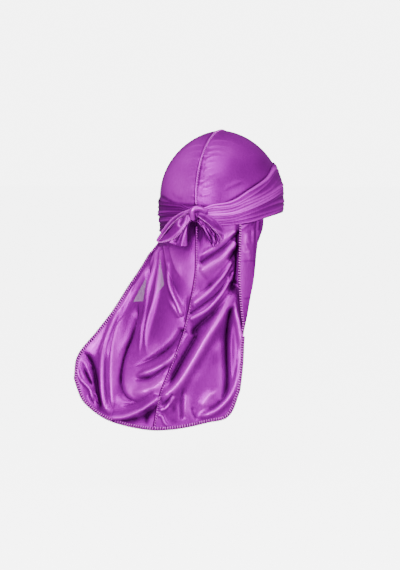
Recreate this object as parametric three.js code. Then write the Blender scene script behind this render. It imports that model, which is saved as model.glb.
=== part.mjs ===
// A satin durag in its worn form: a two-panel crown and tail, a pleated wrap tied at the back in a bow.
// Millimetres, +Z up. The forehead faces -Y, the wearer's left is +X, and the origin is the inner top
// of the crown.
import * as THREE from 'three';

// Cloth
const wall = 1.5;
const hemWall = 2.3;
const clearance = 0.3;
const seamGap = 0.5;

// Crown: a dome that closes in a little below its widest level. crownRound is 0.5 on an ellipsoid and
// more on a dome with a higher top.
const crownHalfWidth = 79;
const crownHalfLength = 99;
const crownDepth = 88;
const crownRound = 0.56;
const crownTaper = 0.1;
const topSeamHalfLength = 50;
const rimCover = 5;

// Wrap: the strap that runs around the head over the crown's rim
const wrapDrop = 134;
const pleatHeight = 1.6;
const pleatCount = 4;
const frontOverlapTurn = 25;
const wrapClearance = 0.45;
const wrapEndTurn = 14;
const wrapEndWidth = 0.62;
const wrapEndLift = 3.4;
const wrapLeftEnd = 87.5;
const wrapRightEnd = 94.5;

// Tail: the loose back of both panels, swung towards the left. It leaves the head and its folds begin
// over the first shares of its length, and its folds are calm near its edges.
const tailSwing = 20;
const tailLeftTurn = 20;
const tailRightTurn = 156;
const tailSpread = 113;
const tailStandoff = 14;
const tailDrop = 385;
const tailLeaves = 0.03;
const tailFree = 0.2;
const foldHeight = 9;
const foldWidth = 10;
const calmEdge = 0.08;
const calmShare = 0.3;
const flapReach = 33;
const flapLift = 3.2;

// Seam ridge
const ridgeWidth = 5;
const ridgeHeight = 2;
const ridgeShoulder = 0.75;
const shoulderHeight = 1.3;

// Bow
const knotTurn = 91.6;
const knotDrop = 106;
const knotHalfWidth = 7.5;
const knotHalfDepth = 9;
const knotHalfHeight = 12;
const knotLean = 12;
const knotFoot = 0.92;
const bowReach = 48;
const bowCloth = 15;
const endLength = 34;
const endPleat = 2;

// Grid of one panel: columns ahead of the tail, columns in the tail, and rows, with a narrow column
// along the hem and beside the seam, as shares of the tail's width. flapShares places the columns of
// the turned-back edge from its fold to its hem.
const hemShare = 0.02;
const seamShare = 0.0105;
const frontColumns = 11;
const tailColumns = 18;
const crownRows = 8;
const tailRows = 26;
const flapColumns = 4;
const flapFirstRow = 2;
const flapLastRow = 17;
const flapShares = [0, 0.15, 0.5, 0.86, 1];
const wrapColumns = 30;
const loopColumns = 16;
const loopRows = 3;
const endColumns = 8;
const endRows = 7;
const foldSteps = 10;

// Sizes that follow from others
const tailReach = crownHalfWidth + tailSpread;
const tailBack = crownHalfLength + tailStandoff;
const wrapHeight = wall + wrapClearance;
const knotStandoff = wrapHeight + wrapEndLift + knotHalfDepth + clearance / 2;

// Edges of the wrap, by turn around the head from the left ear, as shares of wrapDrop
const wrapEdges = [
  { turn: -90, upper: 0.32, lower: 0.68 },
  { turn: -55, upper: 0.4, lower: 0.74 },
  { turn: -25, upper: 0.49, lower: 0.83 },
  { turn: 0, upper: 0.6, lower: 0.93 },
  { turn: 22, upper: 0.685, lower: 1 },
  { turn: 55, upper: 0.7, lower: 0.97 },
  { turn: 90, upper: 0.715, lower: 0.92 },
  { turn: 120, upper: 0.69, lower: 0.915 },
  { turn: 140, upper: 0.575, lower: 0.895 },
  { turn: 160, upper: 0.47, lower: 0.85 },
  { turn: 180, upper: 0.36, lower: 0.82 },
  { turn: 205, upper: 0.325, lower: 0.8 },
  { turn: 240, upper: 0.32, lower: 0.73 },
  { turn: 270, upper: 0.32, lower: 0.68 },
];

// Tail sections from the rim down: places of its left edge, seam and right fold sideways,
// as shares of tailReach
const tailSides = [
  { down: 0, left: 0.417, seam: 0.177, right: -0.285 },
  { down: 0.12, left: 0.465, seam: 0.177, right: -0.237 },
  { down: 0.25, left: 0.535, seam: 0.18, right: -0.224 },
  { down: 0.4, left: 0.637, seam: 0.216, right: -0.207 },
  { down: 0.55, left: 0.735, seam: 0.266, right: -0.18 },
  { down: 0.7, left: 0.852, seam: 0.344, right: -0.146 },
  { down: 0.85, left: 0.975, seam: 0.422, right: -0.135 },
  { down: 1, left: 1, seam: 0.461, right: -0.114 },
];

// The same places backwards, as shares of tailBack. bulge is how far a section follows a round arc
// in place of a straight line.
const tailBacks = [
  { down: 0, left: 0.055, seam: 0.79, right: 0.5, bulge: 1 },
  { down: 0.12, left: 0.12, seam: 0.84, right: 0.54, bulge: 0.9 },
  { down: 0.25, left: 0.22, seam: 0.87, right: 0.58, bulge: 0.7 },
  { down: 0.4, left: 0.33, seam: 0.885, right: 0.63, bulge: 0.55 },
  { down: 0.55, left: 0.44, seam: 0.9, right: 0.7, bulge: 0.4 },
  { down: 0.7, left: 0.53, seam: 0.93, right: 0.77, bulge: 0.3 },
  { down: 0.85, left: 0.61, seam: 0.97, right: 0.83, bulge: 0.25 },
  { down: 1, left: 0.66, seam: 1, right: 0.87, bulge: 0.2 },
];

// Bottom hem, from the left edge to the right one, as shares of tailDrop
const hemLine = [
  { across: 0, drop: 0.842 },
  { across: 0.05, drop: 0.902 },
  { across: 0.1, drop: 0.93 },
  { across: 0.2, drop: 0.965 },
  { across: 0.3, drop: 0.984 },
  { across: 0.4, drop: 0.995 },
  { across: 0.5, drop: 1 },
  { across: 0.6, drop: 0.998 },
  { across: 0.7, drop: 0.989 },
  { across: 0.8, drop: 0.976 },
  { across: 0.9, drop: 0.965 },
  { across: 0.95, drop: 0.937 },
  { across: 1, drop: 0.873 },
];

// Right edge turned back on itself: its reach over the tail, as a share of flapReach
const flapSections = [
  { down: 0, reach: 1 },
  { down: 0.17, reach: 0.79 },
  { down: 0.33, reach: 0.7 },
  { down: 0.475, reach: 0.53 },
  { down: 0.57, reach: 0.3 },
  { down: 0.64, reach: 0.12 },
];

// Folds of the tail: ridges and grooves along curves from one point by another to a third.
// side is a share of tailReach, drop of tailDrop, width of foldWidth and height of foldHeight.
const tailFolds = [
  { from: [0.16, 0.444], by: [0.04, 0.403], to: [-0.1, 0.338], width: 0.9, height: 0.8 },
  { from: [0.13, 0.478], by: [0.06, 0.447], to: [-0.03, 0.4], width: 0.9, height: -0.55 },
  { from: [0.22, 0.63], by: [0.09, 0.564], to: [-0.05, 0.491], width: 0.8, height: 0.75 },
  { from: [0.2, 0.637], by: [0.13, 0.608], to: [0.04, 0.574], width: 0.7, height: 0.5 },
  { from: [-0.05, 0.57], by: [0.265, 0.795], to: [0.42, 0.9], width: 1, height: 1 },
  { from: [0.01, 0.55], by: [0.15, 0.655], to: [0.22, 0.71], width: 0.9, height: -0.8 },
  { from: [-0.047, 0.585], by: [-0.026, 0.75], to: [-0.005, 0.9], width: 0.7, height: -0.9 },
  { from: [-0.115, 0.603], by: [-0.104, 0.738], to: [-0.057, 0.907], width: 0.8, height: 0.7 },
  { from: [-0.057, 0.907], by: [0, 0.953], to: [0.15, 0.956], width: 0.6, height: 0.45 },
  { from: [0.047, 0.873], by: [0.094, 0.917], to: [0.15, 0.95], width: 0.5, height: 0.45 },
  { from: [0.448, 0.39], by: [0.76, 0.613], to: [0.8, 0.77], width: 0.9, height: 0.9 },
  { from: [0.8, 0.77], by: [0.875, 1.05], to: [0.43, 0.9], width: 0.8, height: 0.9 },
  { from: [0.484, 0.57], by: [0.64, 0.72], to: [0.68, 0.85], width: 0.9, height: -0.7 },
  { from: [0.68, 0.85], by: [0.66, 0.906], to: [0.484, 0.873], width: 0.8, height: -0.7 },
  { from: [0.4375, 0.385], by: [0.484, 0.5], to: [0.547, 0.652], width: 0.5, height: 0.55 },
  { from: [0.375, 0.385], by: [0.406, 0.5], to: [0.286, 0.616], width: 0.5, height: 0.55 },
  { from: [0.297, 0.753], by: [0.417, 0.83], to: [0.594, 0.82], width: 0.7, height: 0.55 },
  { from: [0.932, 0.738], by: [0.906, 0.82], to: [0.844, 0.9], width: 0.4, height: -0.35 },
];

// Bow loops, out from the knot's side and back to it, as shares of bowReach; width is a share of bowCloth.
// lean turns the cloth's width from straight back towards straight down, in degrees.
const leftLoop = [
  { side: 0.01, back: 0.02, drop: -0.1, width: 0.4, lean: 10 },
  { side: 0.26, back: 0.02, drop: 0.03, width: 0.8, lean: 12 },
  { side: 0.56, back: -0.1, drop: 0.28, width: 1, lean: 18 },
  { side: 0.8, back: -0.28, drop: 0.64, width: 0.9, lean: 30 },
  { side: 0.74, back: -0.26, drop: 0.76, width: 0.9, lean: 40 },
  { side: 0.46, back: -0.1, drop: 0.66, width: 1, lean: 50 },
  { side: 0.22, back: 0.02, drop: 0.44, width: 0.8, lean: 50 },
  { side: 0.015, back: 0.04, drop: 0.1, width: 0.4, lean: 45 },
];
const rightLoop = [
  { side: -0.008, back: 0.05, drop: -0.11, width: 0.4, lean: 30 },
  { side: 0.24, back: 0.09, drop: 0.02, width: 0.8, lean: 45 },
  { side: 0.46, back: 0.1, drop: 0.18, width: 1, lean: 50 },
  { side: 0.64, back: 0.06, drop: 0.42, width: 0.9, lean: 45 },
  { side: 0.6, back: 0.02, drop: 0.7, width: 0.9, lean: 25 },
  { side: 0.4, back: 0.02, drop: 0.64, width: 0.9, lean: 15 },
  { side: 0.22, back: 0.06, drop: 0.38, width: 0.8, lean: 10 },
  { side: 0, back: 0.04, drop: 0.12, width: 0.4, lean: 10 },
];

// Tie ends, down from the knot's foot, as shares of endLength; width is a share of bowCloth
const leftEnd = [
  { side: 0.13, back: -0.08, drop: 0, width: 0.4 },
  { side: 0.34, back: -0.14, drop: 0.37, width: 0.75 },
  { side: 0.5, back: -0.18, drop: 0.67, width: 1.1 },
  { side: 0.62, back: -0.2, drop: 0.92, width: 1.4 },
];
const rightEnd = [
  { side: -0.09, back: -0.06, drop: 0.02, width: 0.4 },
  { side: -0.3, back: -0.1, drop: 0.39, width: 0.6 },
  { side: -0.48, back: -0.12, drop: 0.67, width: 0.75 },
  { side: -0.62, back: -0.12, drop: 0.93, width: 0.8 },
];

const cloths = {
  satin: { color: 0xa83ab4, roughness: 0.35, metalness: 0.1 },
  satinSeam: { color: 0x9433a0, roughness: 0.45, metalness: 0.1 },
};

const radians = THREE.MathUtils.degToRad;
const mix = THREE.MathUtils.lerp;
const ease = THREE.MathUtils.smoothstep;

// A named column of a table, read at a place between its rows along a smooth curve
function readColumn(table, key, name, at) {
  const last = table.length - 1;
  const place = THREE.MathUtils.clamp(at, table[0][key], table[last][key]);
  let row = 0;
  while (row < last - 1 && table[row + 1][key] < place) row += 1;
  const slope = (index) => {
    const before = table[Math.max(index - 1, 0)];
    const after = table[Math.min(index + 1, last)];
    return (after[name] - before[name]) / (after[key] - before[key]);
  };
  const span = table[row + 1][key] - table[row][key];
  const t = (place - table[row][key]) / span;
  const startWeight = (1 + 2 * t) * (1 - t) * (1 - t);
  const endWeight = t * t * (3 - 2 * t);
  const startSlope = slope(row) * span * t * (1 - t) * (1 - t);
  const endSlope = slope(row + 1) * span * t * t * (t - 1);
  return table[row][name] * startWeight + table[row + 1][name] * endWeight + startSlope + endSlope;
}

// Plan share of the crown at a drop below its top
function crownShare(drop) {
  const below = (drop - crownDepth) / crownDepth;
  return below < 0 ? (1 - Math.min(1, below * below)) ** crownRound : 1 - crownTaper * below * below;
}

function headPoint(turn, drop) {
  const share = crownShare(drop);
  return new THREE.Vector3(
    crownHalfWidth * share * Math.cos(radians(turn)),
    crownHalfLength * share * Math.sin(radians(turn)),
    wall / 2 - drop,
  );
}

function headNormal(turn, drop) {
  const along = headPoint(turn + 0.5, drop).sub(headPoint(turn - 0.5, drop));
  const down = headPoint(turn, drop + 0.5).sub(headPoint(turn, drop - 0.5));
  return down.cross(along).normalize();
}

// A step sideways, backwards and down in the tail's swung directions
function swungStep(side, back, drop) {
  return new THREE.Vector3(side, back, -drop).applyAxisAngle(new THREE.Vector3(0, 0, 1), radians(tailSwing));
}

function rimDrop(turn) {
  return wrapDrop * readColumn(wrapEdges, 'turn', 'lower', turn) - rimCover;
}

// Crown: each column runs from the seam over the top down to the rim
function crownPoint(turn, share) {
  const fromSeam = turn <= 90 ? turn / 90 : (180 - turn) / 90;
  const start = new THREE.Vector2(0, (topSeamHalfLength / crownHalfLength) * fromSeam);
  const end = new THREE.Vector2(Math.cos(radians(turn)), Math.sin(radians(turn)));
  const run = end.clone().sub(start);
  const rim = rimDrop(turn);
  const below = (rim - crownDepth) / crownDepth;
  const rimAngle = below < 0 ? Math.acos(-below) : Math.PI / 2 + below;
  const angle = share * rimAngle;
  const a = run.lengthSq();
  const b = 2 * start.dot(run);
  const rimShare = Math.min(1, crownShare(Math.min(rim, crownDepth)));
  const reach = (-b + Math.sqrt(b * b - 4 * a * (start.lengthSq() - rimShare * rimShare))) / (2 * a);
  if (angle > Math.PI / 2) {
    return headPoint(turn, crownDepth * (1 + angle - Math.PI / 2));
  }
  const grown = (reach * Math.sin(angle)) / Math.sin(Math.min(rimAngle, Math.PI / 2));
  const plan = start.addScaledVector(run, grown);
  const drop = crownDepth * (1 - Math.sqrt(Math.max(0, 1 - plan.length() ** (1 / crownRound))));
  return new THREE.Vector3(crownHalfWidth * plan.x, crownHalfLength * plan.y, wall / 2 - drop);
}

function tailTurn(across) {
  return across < 0.5 ? mix(tailLeftTurn, 90, 2 * across) : mix(90, tailRightTurn, 2 * across - 1);
}

// Tail before its folds: it leaves the rim with the head's shape and spreads to its own sections
function plainTailPoint(across, down) {
  const turn = tailTurn(across);
  const rim = rimDrop(turn);
  const hem = tailDrop * readColumn(hemLine, 'across', 'drop', across);
  const drop = mix(rim, hem, down);
  const edge = across < 0.5 ? 'left' : 'right';
  const fromEdge = across < 0.5 ? 2 * across : 2 - 2 * across;
  const bulge = readColumn(tailBacks, 'down', 'bulge', down);
  const sideShare = mix(fromEdge, 1 - Math.cos((fromEdge * Math.PI) / 2), bulge);
  const backShare = mix(fromEdge, Math.sin((fromEdge * Math.PI) / 2), bulge);
  const place = (table, share) => {
    return mix(readColumn(table, 'down', edge, down), readColumn(table, 'down', 'seam', down), share);
  };
  const side = tailReach * place(tailSides, sideShare);
  const back = tailBack * place(tailBacks, backShare);
  const hanging = swungStep(side, back, drop - wall / 2);
  const onHead = headPoint(turn, Math.min(drop, rim + 2 * rimCover)).setZ(wall / 2 - drop);
  return onHead.lerp(hanging, ease(down, tailLeaves, tailFree));
}

function curveDistance(fold, side, drop) {
  let nearest = Infinity;
  let before = null;
  for (let step = 0; step <= foldSteps; step += 1) {
    const t = step / foldSteps;
    const weights = [(1 - t) * (1 - t), 2 * t * (1 - t), t * t];
    const points = [fold.from, fold.by, fold.to];
    const here = new THREE.Vector2();
    points.forEach((point, index) => {
      here.x += weights[index] * point[0] * tailReach;
      here.y += weights[index] * point[1] * tailDrop;
    });
    if (before) {
      const run = here.clone().sub(before);
      const toPoint = new THREE.Vector2(side, drop).sub(before);
      const share = THREE.MathUtils.clamp(toPoint.dot(run) / run.lengthSq(), 0, 1);
      nearest = Math.min(nearest, toPoint.addScaledVector(run, -share).length());
    }
    before = here;
  }
  return nearest;
}

// Height of the folds at a place on the tail, easing out at its top and its edges
function foldLift(across, down, point) {
  const side = point.dot(swungStep(1, 0, 0));
  let ridge = 0;
  let groove = 0;
  for (const fold of tailFolds) {
    const share = curveDistance(fold, side, -point.z) / (fold.width * foldWidth);
    const height = fold.height * foldHeight * Math.exp(-share * share);
    ridge = Math.max(ridge, height);
    groove = Math.min(groove, height);
  }
  const edge = ease(Math.min(across, 1 - across), 0, calmEdge);
  return (ridge + groove) * ease(down, tailLeaves, tailFree) * mix(calmShare, 1, edge);
}

function plainTailNormal(across, down) {
  const step = 0.004;
  const left = plainTailPoint(Math.max(across - step, 0), down);
  const right = plainTailPoint(Math.min(across + step, 1), down);
  const above = plainTailPoint(across, Math.max(down - step, 0));
  const under = plainTailPoint(across, Math.min(down + step, 1));
  return under.sub(above).cross(right.sub(left)).normalize();
}

function tailPoint(across, down, lift = 0) {
  const point = plainTailPoint(across, down);
  const height = foldLift(across, down, point) + lift;
  return point.addScaledVector(plainTailNormal(across, down), height);
}

// A grid of points with some of its cells covered by cloth
function clothGrid(columns, rows, pointAt, covers) {
  const points = [];
  for (let column = 0; column <= columns; column += 1) {
    points.push([]);
    for (let row = 0; row <= rows; row += 1) {
      const used = [[-1, -1], [-1, 0], [0, -1], [0, 0]].some(([i, j]) => covers(column + i, row + j));
      points[column].push(used ? pointAt(column, row) : null);
    }
  }
  return { columns, rows, points, covers };
}

function cellCorners(column, row) {
  return [[column, row], [column, row + 1], [column + 1, row + 1], [column + 1, row]];
}

function pointKey(point) {
  return point.toArray().map((value) => value.toFixed(3)).join(' ');
}

// Normals of one or more grids, shared where their points meet
function gridNormals(grids) {
  const sums = new Map();
  for (const grid of grids) {
    for (let column = 0; column < grid.columns; column += 1) {
      for (let row = 0; row < grid.rows; row += 1) {
        if (!grid.covers(column, row)) continue;
        const corners = cellCorners(column, row).map(([i, j]) => grid.points[i][j]);
        const across = corners[2].clone().sub(corners[0]);
        const other = corners[3].clone().sub(corners[1]);
        const normal = across.cross(other).normalize();
        for (const corner of corners) {
          const key = pointKey(corner);
          if (!sums.has(key)) sums.set(key, new THREE.Vector3());
          sums.get(key).add(normal);
        }
      }
    }
  }
  return (point) => sums.get(pointKey(point)).clone().normalize();
}

// A closed wall around a grid: two faces half a wall apart from it, joined along every open edge.
// Each cell is split along its shorter diagonal, except beside the column that a ridge stands on.
function thicken(grid, normalAt, wallAt, shiftAt = () => null, ridgeColumn = -1) {
  const vertices = [];
  const indices = [];
  const numbers = new Map();
  function vertex(column, row, face) {
    const key = `${column} ${row} ${face}`;
    if (!numbers.has(key)) {
      const middle = grid.points[column][row];
      const point = middle.clone().addScaledVector(normalAt(middle), (face * wallAt(column, row)) / 2);
      const shift = shiftAt(column, row);
      if (shift) point.add(shift);
      numbers.set(key, vertices.length / 3);
      vertices.push(...point.toArray());
    }
    return numbers.get(key);
  }
  function quad(a, b, c, d) {
    indices.push(a, b, c, a, c, d);
  }
  function cell(column, row, corners) {
    const [a, b, c, d] = corners.map(([i, j]) => grid.points[i][j]);
    const outer = corners.map(([i, j]) => vertex(i, j, 1));
    const inner = corners.map(([i, j]) => vertex(i, j, -1));
    const underRidge = column === ridgeColumn || column + 1 === ridgeColumn;
    if (underRidge || a.distanceTo(c) < b.distanceTo(d)) {
      quad(...outer);
      quad(inner[0], inner[3], inner[2], inner[1]);
    } else {
      quad(outer[1], outer[2], outer[3], outer[0]);
      quad(inner[1], inner[0], inner[3], inner[2]);
    }
    return { outer, inner };
  }
  for (let column = 0; column < grid.columns; column += 1) {
    for (let row = 0; row < grid.rows; row += 1) {
      if (!grid.covers(column, row)) continue;
      const { outer, inner } = cell(column, row, cellCorners(column, row));
      const besides = [[column - 1, row], [column, row + 1], [column + 1, row], [column, row - 1]];
      besides.forEach(([i, j], side) => {
        const next = (side + 1) % 4;
        if (!grid.covers(i, j)) quad(outer[side], inner[side], inner[next], outer[next]);
      });
    }
  }
  const geometry = new THREE.BufferGeometry();
  geometry.setAttribute('position', new THREE.Float32BufferAttribute(vertices, 3));
  geometry.setIndex(indices);
  return geometry;
}

// Places of the tail's columns between its left edge and its seam, or its seam and its right edge
function acrossTail(column) {
  if (column === 0) return 0;
  if (column === tailColumns) return 0.5;
  return mix(hemShare, 0.5 - seamShare, (column - 1) / (tailColumns - 2));
}

function downTail(row) {
  return row === tailRows ? 1 : (row / (tailRows - 1)) * (1 - hemShare);
}

const panelColumns = frontColumns + tailColumns;
const panelRows = crownRows + tailRows;

function leftAcross(column) {
  return acrossTail(column - frontColumns);
}

function leftPoint(column, row) {
  if (row > crownRows) return tailPoint(leftAcross(column), downTail(row - crownRows));
  const ahead = mix(-90, tailLeftTurn, column / frontColumns);
  return crownPoint(column < frontColumns ? ahead : tailTurn(leftAcross(column)), row / crownRows);
}

function leftCovers(column, row) {
  if (column < 0 || row < 0 || column >= panelColumns || row >= panelRows) return false;
  return row < crownRows || column >= frontColumns;
}

function flapPoint(column, down) {
  const width = plainTailPoint(0.5, down).distanceTo(plainTailPoint(1, down));
  const reach = flapReach * readColumn(flapSections, 'down', 'reach', down);
  const across = 1 - (0.5 * flapShares[column] * reach) / width;
  return tailPoint(across, down, flapLift);
}

function rightPoint(column, row) {
  const down = downTail(row - crownRows);
  const onFlap = row >= crownRows + flapFirstRow && row <= crownRows + flapLastRow;
  if (row > crownRows && column > tailColumns) return flapPoint(column - tailColumns, down);
  if (row > crownRows) {
    const onFold = onFlap && column === tailColumns;
    return tailPoint(1 - acrossTail(tailColumns - column), down, onFold ? flapLift / 2 : 0);
  }
  const ahead = mix(tailRightTurn, 270, (column - tailColumns) / frontColumns);
  const turn = column > tailColumns ? ahead : tailTurn(1 - acrossTail(tailColumns - column));
  return crownPoint(turn, row / crownRows);
}

function rightCovers(column, row) {
  if (column < 0 || row < 0 || column >= panelColumns || row >= panelRows) return false;
  const onFlapRows = row >= crownRows + flapFirstRow && row < crownRows + flapLastRow;
  return row < crownRows || column < tailColumns || (onFlapRows && column < tailColumns + flapColumns);
}

const leftGrid = clothGrid(panelColumns, panelRows, leftPoint, leftCovers);
const rightGrid = clothGrid(panelColumns, panelRows, rightPoint, rightCovers);
const panelNormal = gridNormals([leftGrid, rightGrid]);

// Half of the gap that the panels keep along the centre seam
function seamShift(grid, seamColumn, otherColumn, sign) {
  const beside = seamColumn === 0 ? 1 : seamColumn - 1;
  return (column, row) => {
    const across = new THREE.Vector3(sign, 0, 0);
    const onTail = row > crownRows;
    if (onTail && column !== seamColumn) return null;
    if (!onTail && column !== seamColumn && column !== otherColumn && row !== 0) return null;
    if (onTail) across.subVectors(grid.points[beside][row], grid.points[seamColumn][row]).normalize();
    return across.multiplyScalar(seamGap / 2);
  };
}

function panelLeft() {
  const wallAt = (column, row) => {
    const onEdge = column === frontColumns && row > crownRows + 1;
    return onEdge || row === panelRows ? hemWall : wall;
  };
  return thicken(leftGrid, panelNormal, wallAt, seamShift(leftGrid, panelColumns, 0, 1), panelColumns);
}

function panelRight() {
  const wallAt = (column, row) => {
    const onEdge = column === tailColumns && row > crownRows + flapLastRow;
    const onFlapHem = column === tailColumns + flapColumns && row > crownRows;
    return onEdge || onFlapHem || row === panelRows ? hemWall : wall;
  };
  return thicken(rightGrid, panelNormal, wallAt, seamShift(rightGrid, 0, panelColumns, -1), 0);
}

// One station of the seam ridge: its middle on the cloth and its foot on each side of the seam.
// On the crown's top the right foot mirrors the left one, and on the tail the feet stand at the next columns.
function seamStation(seam, leftBeside, rightBeside, cloth = wall, reach = ridgeWidth / 2) {
  const outer = (point) => point.clone().addScaledVector(panelNormal(point), cloth / 2);
  const middle = outer(seam);
  const foot = (beside) => {
    const end = outer(beside);
    return middle.clone().lerp(end, Math.min(1, reach / middle.distanceTo(end)));
  };
  const left = foot(leftBeside);
  const right = rightBeside ? foot(rightBeside) : left.clone().setX(-left.x);
  return { middle, normal: panelNormal(seam), left, right };
}

function betweenStations(first, second, share) {
  return {
    middle: first.middle.clone().lerp(second.middle, share),
    normal: first.normal.clone().lerp(second.normal, share).normalize(),
    left: first.left.clone().lerp(second.left, share),
    right: first.right.clone().lerp(second.right, share),
  };
}

// Stations cut off where they pass a height, so that a ridge stops clear of the wrap's edge
function cutStations(stations, height, keepAbove) {
  const kept = [];
  const inside = (one) => (keepAbove ? one.middle.z > height : one.middle.z < height);
  stations.forEach((station, index) => {
    const before = stations[index - 1];
    if (before && inside(before) !== inside(station)) {
      const share = (height - before.middle.z) / (station.middle.z - before.middle.z);
      kept.push(betweenStations(before, station, share));
    }
    if (inside(station)) kept.push(station);
  });
  return kept;
}

// A ridge through its stations, its section running from the middle of its base around over its top
function ridge(stations) {
  const vertices = [];
  const indices = [];
  const sides = 6;
  for (const { middle, normal, left, right } of stations) {
    const raise = (point, height) => point.clone().addScaledVector(normal, clearance + height);
    const section = [
      raise(middle, 0),
      raise(left, 0),
      raise(middle.clone().lerp(left, ridgeShoulder), shoulderHeight),
      raise(middle, ridgeHeight),
      raise(middle.clone().lerp(right, ridgeShoulder), shoulderHeight),
      raise(right, 0),
    ];
    section.forEach((point) => vertices.push(...point.toArray()));
  }
  for (let station = 0; station < stations.length - 1; station += 1) {
    for (let side = 0; side < sides; side += 1) {
      const a = station * sides + side;
      const b = station * sides + ((side + 1) % sides);
      indices.push(a, a + sides, b, b, a + sides, b + sides);
    }
  }
  const last = (stations.length - 1) * sides;
  for (let side = 1; side < sides - 1; side += 1) {
    indices.push(0, side, side + 1);
    indices.push(last, last + side + 1, last + side);
  }
  const geometry = new THREE.BufferGeometry();
  geometry.setAttribute('position', new THREE.Float32BufferAttribute(vertices, 3));
  geometry.setIndex(indices);
  return geometry;
}

function crownSeam() {
  const stations = [];
  const left = leftGrid.points;
  const right = rightGrid.points;
  for (let row = crownRows; row > 0; row -= 1) {
    stations.push(seamStation(left[0][row], left[1][row], right[panelColumns - 1][row]));
  }
  for (let column = 0; column <= panelColumns; column += 1) {
    stations.push(seamStation(left[column][0], left[column][1], null));
  }
  for (let row = 1; row <= crownRows; row += 1) {
    stations.push(seamStation(left[panelColumns][row], left[panelColumns - 1][row], right[1][row]));
  }
  const front = -wrapDrop * readColumn(wrapEdges, 'turn', 'upper', -90) + wall + clearance;
  const back = -wrapDrop * readColumn(wrapEdges, 'turn', 'upper', 90) + clearance;
  const half = Math.round(stations.length / 2);
  const ahead = cutStations(stations.slice(0, half), front, true);
  const behind = cutStations(stations.slice(half), back, true);
  return ridge([...ahead, ...behind]);
}

function tailSeam() {
  const stations = [];
  for (let row = crownRows; row <= panelRows; row += 1) {
    const seam = leftGrid.points[panelColumns][row];
    const cloth = row === panelRows ? hemWall : wall;
    const beside = [leftGrid.points[panelColumns - 1][row], rightGrid.points[1][row]];
    stations.push(seamStation(seam, ...beside, cloth, Infinity));
  }
  const edge = -wrapDrop * readColumn(wrapEdges, 'turn', 'lower', 90) - 2 * clearance;
  return ridge(cutStations(stations, edge, false));
}

// Wrap: one strap on each side, from the knot at the back to where they cross on the forehead
function wrapPoint(turn, share, lift, endTurn) {
  const behind = turn > 270 ? turn - 360 : turn;
  const place = turn < -90 ? turn + 360 : behind;
  const upper = wrapDrop * readColumn(wrapEdges, 'turn', 'upper', place);
  const lower = wrapDrop * readColumn(wrapEdges, 'turn', 'lower', place);
  const atEnd = 1 - ease(Math.abs(turn - endTurn), 0, wrapEndTurn);
  const drop = mix(mix(upper, lower, share), (upper + lower) / 2, atEnd * (1 - wrapEndWidth));
  const pleat = pleatHeight * (0.5 - 0.5 * Math.cos(2 * Math.PI * pleatCount * share));
  const height = wrapHeight + pleat + lift + wrapEndLift * atEnd;
  return headPoint(place, drop).addScaledVector(headNormal(place, drop), height);
}

// A plain rectangular piece of cloth
function clothPiece(columns, rows, pointAt) {
  const covers = (column, row) => column >= 0 && row >= 0 && column < columns && row < rows;
  const grid = clothGrid(columns, rows, pointAt, covers);
  return thicken(grid, gridNormals([grid]), () => wall);
}

function wrapStrap(fromTurn, toTurn, endTurn, liftAt) {
  const rows = 2 * pleatCount;
  return clothPiece(wrapColumns, rows, (column, row) => {
    const turn = mix(fromTurn, toTurn, column / wrapColumns);
    return wrapPoint(turn, row / rows, liftAt(turn), endTurn);
  });
}

function wrapLeft() {
  const over = wrapHeight + pleatHeight;
  const liftAt = (turn) => over * (1 - ease(turn, -90 + frontOverlapTurn, -90 + 2 * frontOverlapTurn));
  return wrapStrap(-90 - frontOverlapTurn, wrapLeftEnd, wrapLeftEnd, liftAt);
}

function wrapRight() {
  return wrapStrap(wrapRightEnd, 270 + frontOverlapTurn, wrapRightEnd, () => 0);
}

// Bow
function knotCentre() {
  return headPoint(knotTurn, knotDrop).addScaledVector(headNormal(knotTurn, knotDrop), knotStandoff);
}

function bowSection(table, share) {
  const keyed = table.map((row, index) => ({ ...row, share: index / (table.length - 1) }));
  const names = Object.keys(table[0]);
  return Object.fromEntries(names.map((name) => [name, readColumn(keyed, 'share', name, share)]));
}

function bowLoop(table, hand) {
  return clothPiece(loopColumns, loopRows, (column, row) => {
    const section = bowSection(table, column / loopColumns);
    const side = hand * (knotHalfWidth + clearance + section.side * bowReach);
    const width = section.width * bowCloth * (row / loopRows - 0.5);
    const back = section.back * bowReach + width * Math.cos(radians(section.lean));
    const drop = section.drop * bowReach + width * Math.sin(radians(section.lean));
    return knotCentre().add(swungStep(side, back, drop));
  });
}

function tieEnd(table) {
  return clothPiece(endColumns, endRows, (column, row) => {
    const section = bowSection(table, row / endRows);
    const side = section.side * endLength - section.width * bowCloth * (column / endColumns - 0.5);
    const back = section.back * endLength + section.width * endPleat * Math.cos((Math.PI * column) / 2);
    const drop = knotFoot * knotHalfHeight + clearance + section.drop * endLength;
    return knotCentre().add(swungStep(side, back, drop));
  });
}

const durag = new THREE.Group();

function addPiece(name, geometry, cloth) {
  geometry.computeVertexNormals();
  const mesh = new THREE.Mesh(geometry, new THREE.MeshStandardMaterial(cloths[cloth]));
  mesh.name = name;
  durag.add(mesh);
  return mesh;
}

addPiece('panel_left', panelLeft(), 'satin');
addPiece('panel_right', panelRight(), 'satin');
addPiece('crown_seam', crownSeam(), 'satinSeam');
addPiece('tail_seam', tailSeam(), 'satinSeam');
addPiece('wrap_left', wrapLeft(), 'satin');
addPiece('wrap_right', wrapRight(), 'satin');
addPiece('bow_loop_left', bowLoop(leftLoop, 1), 'satin');
addPiece('bow_loop_right', bowLoop(rightLoop, -1), 'satin');
addPiece('tie_end_left', tieEnd(leftEnd), 'satin');
addPiece('tie_end_right', tieEnd(rightEnd), 'satin');

const knot = addPiece('knot', new THREE.SphereGeometry(1, 16, 10), 'satin');
knot.scale.set(knotHalfWidth, knotHalfDepth, knotHalfHeight);
knot.rotation.set(0, radians(knotLean), radians(tailSwing));
knot.position.copy(knotCentre());

export default durag;
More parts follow.
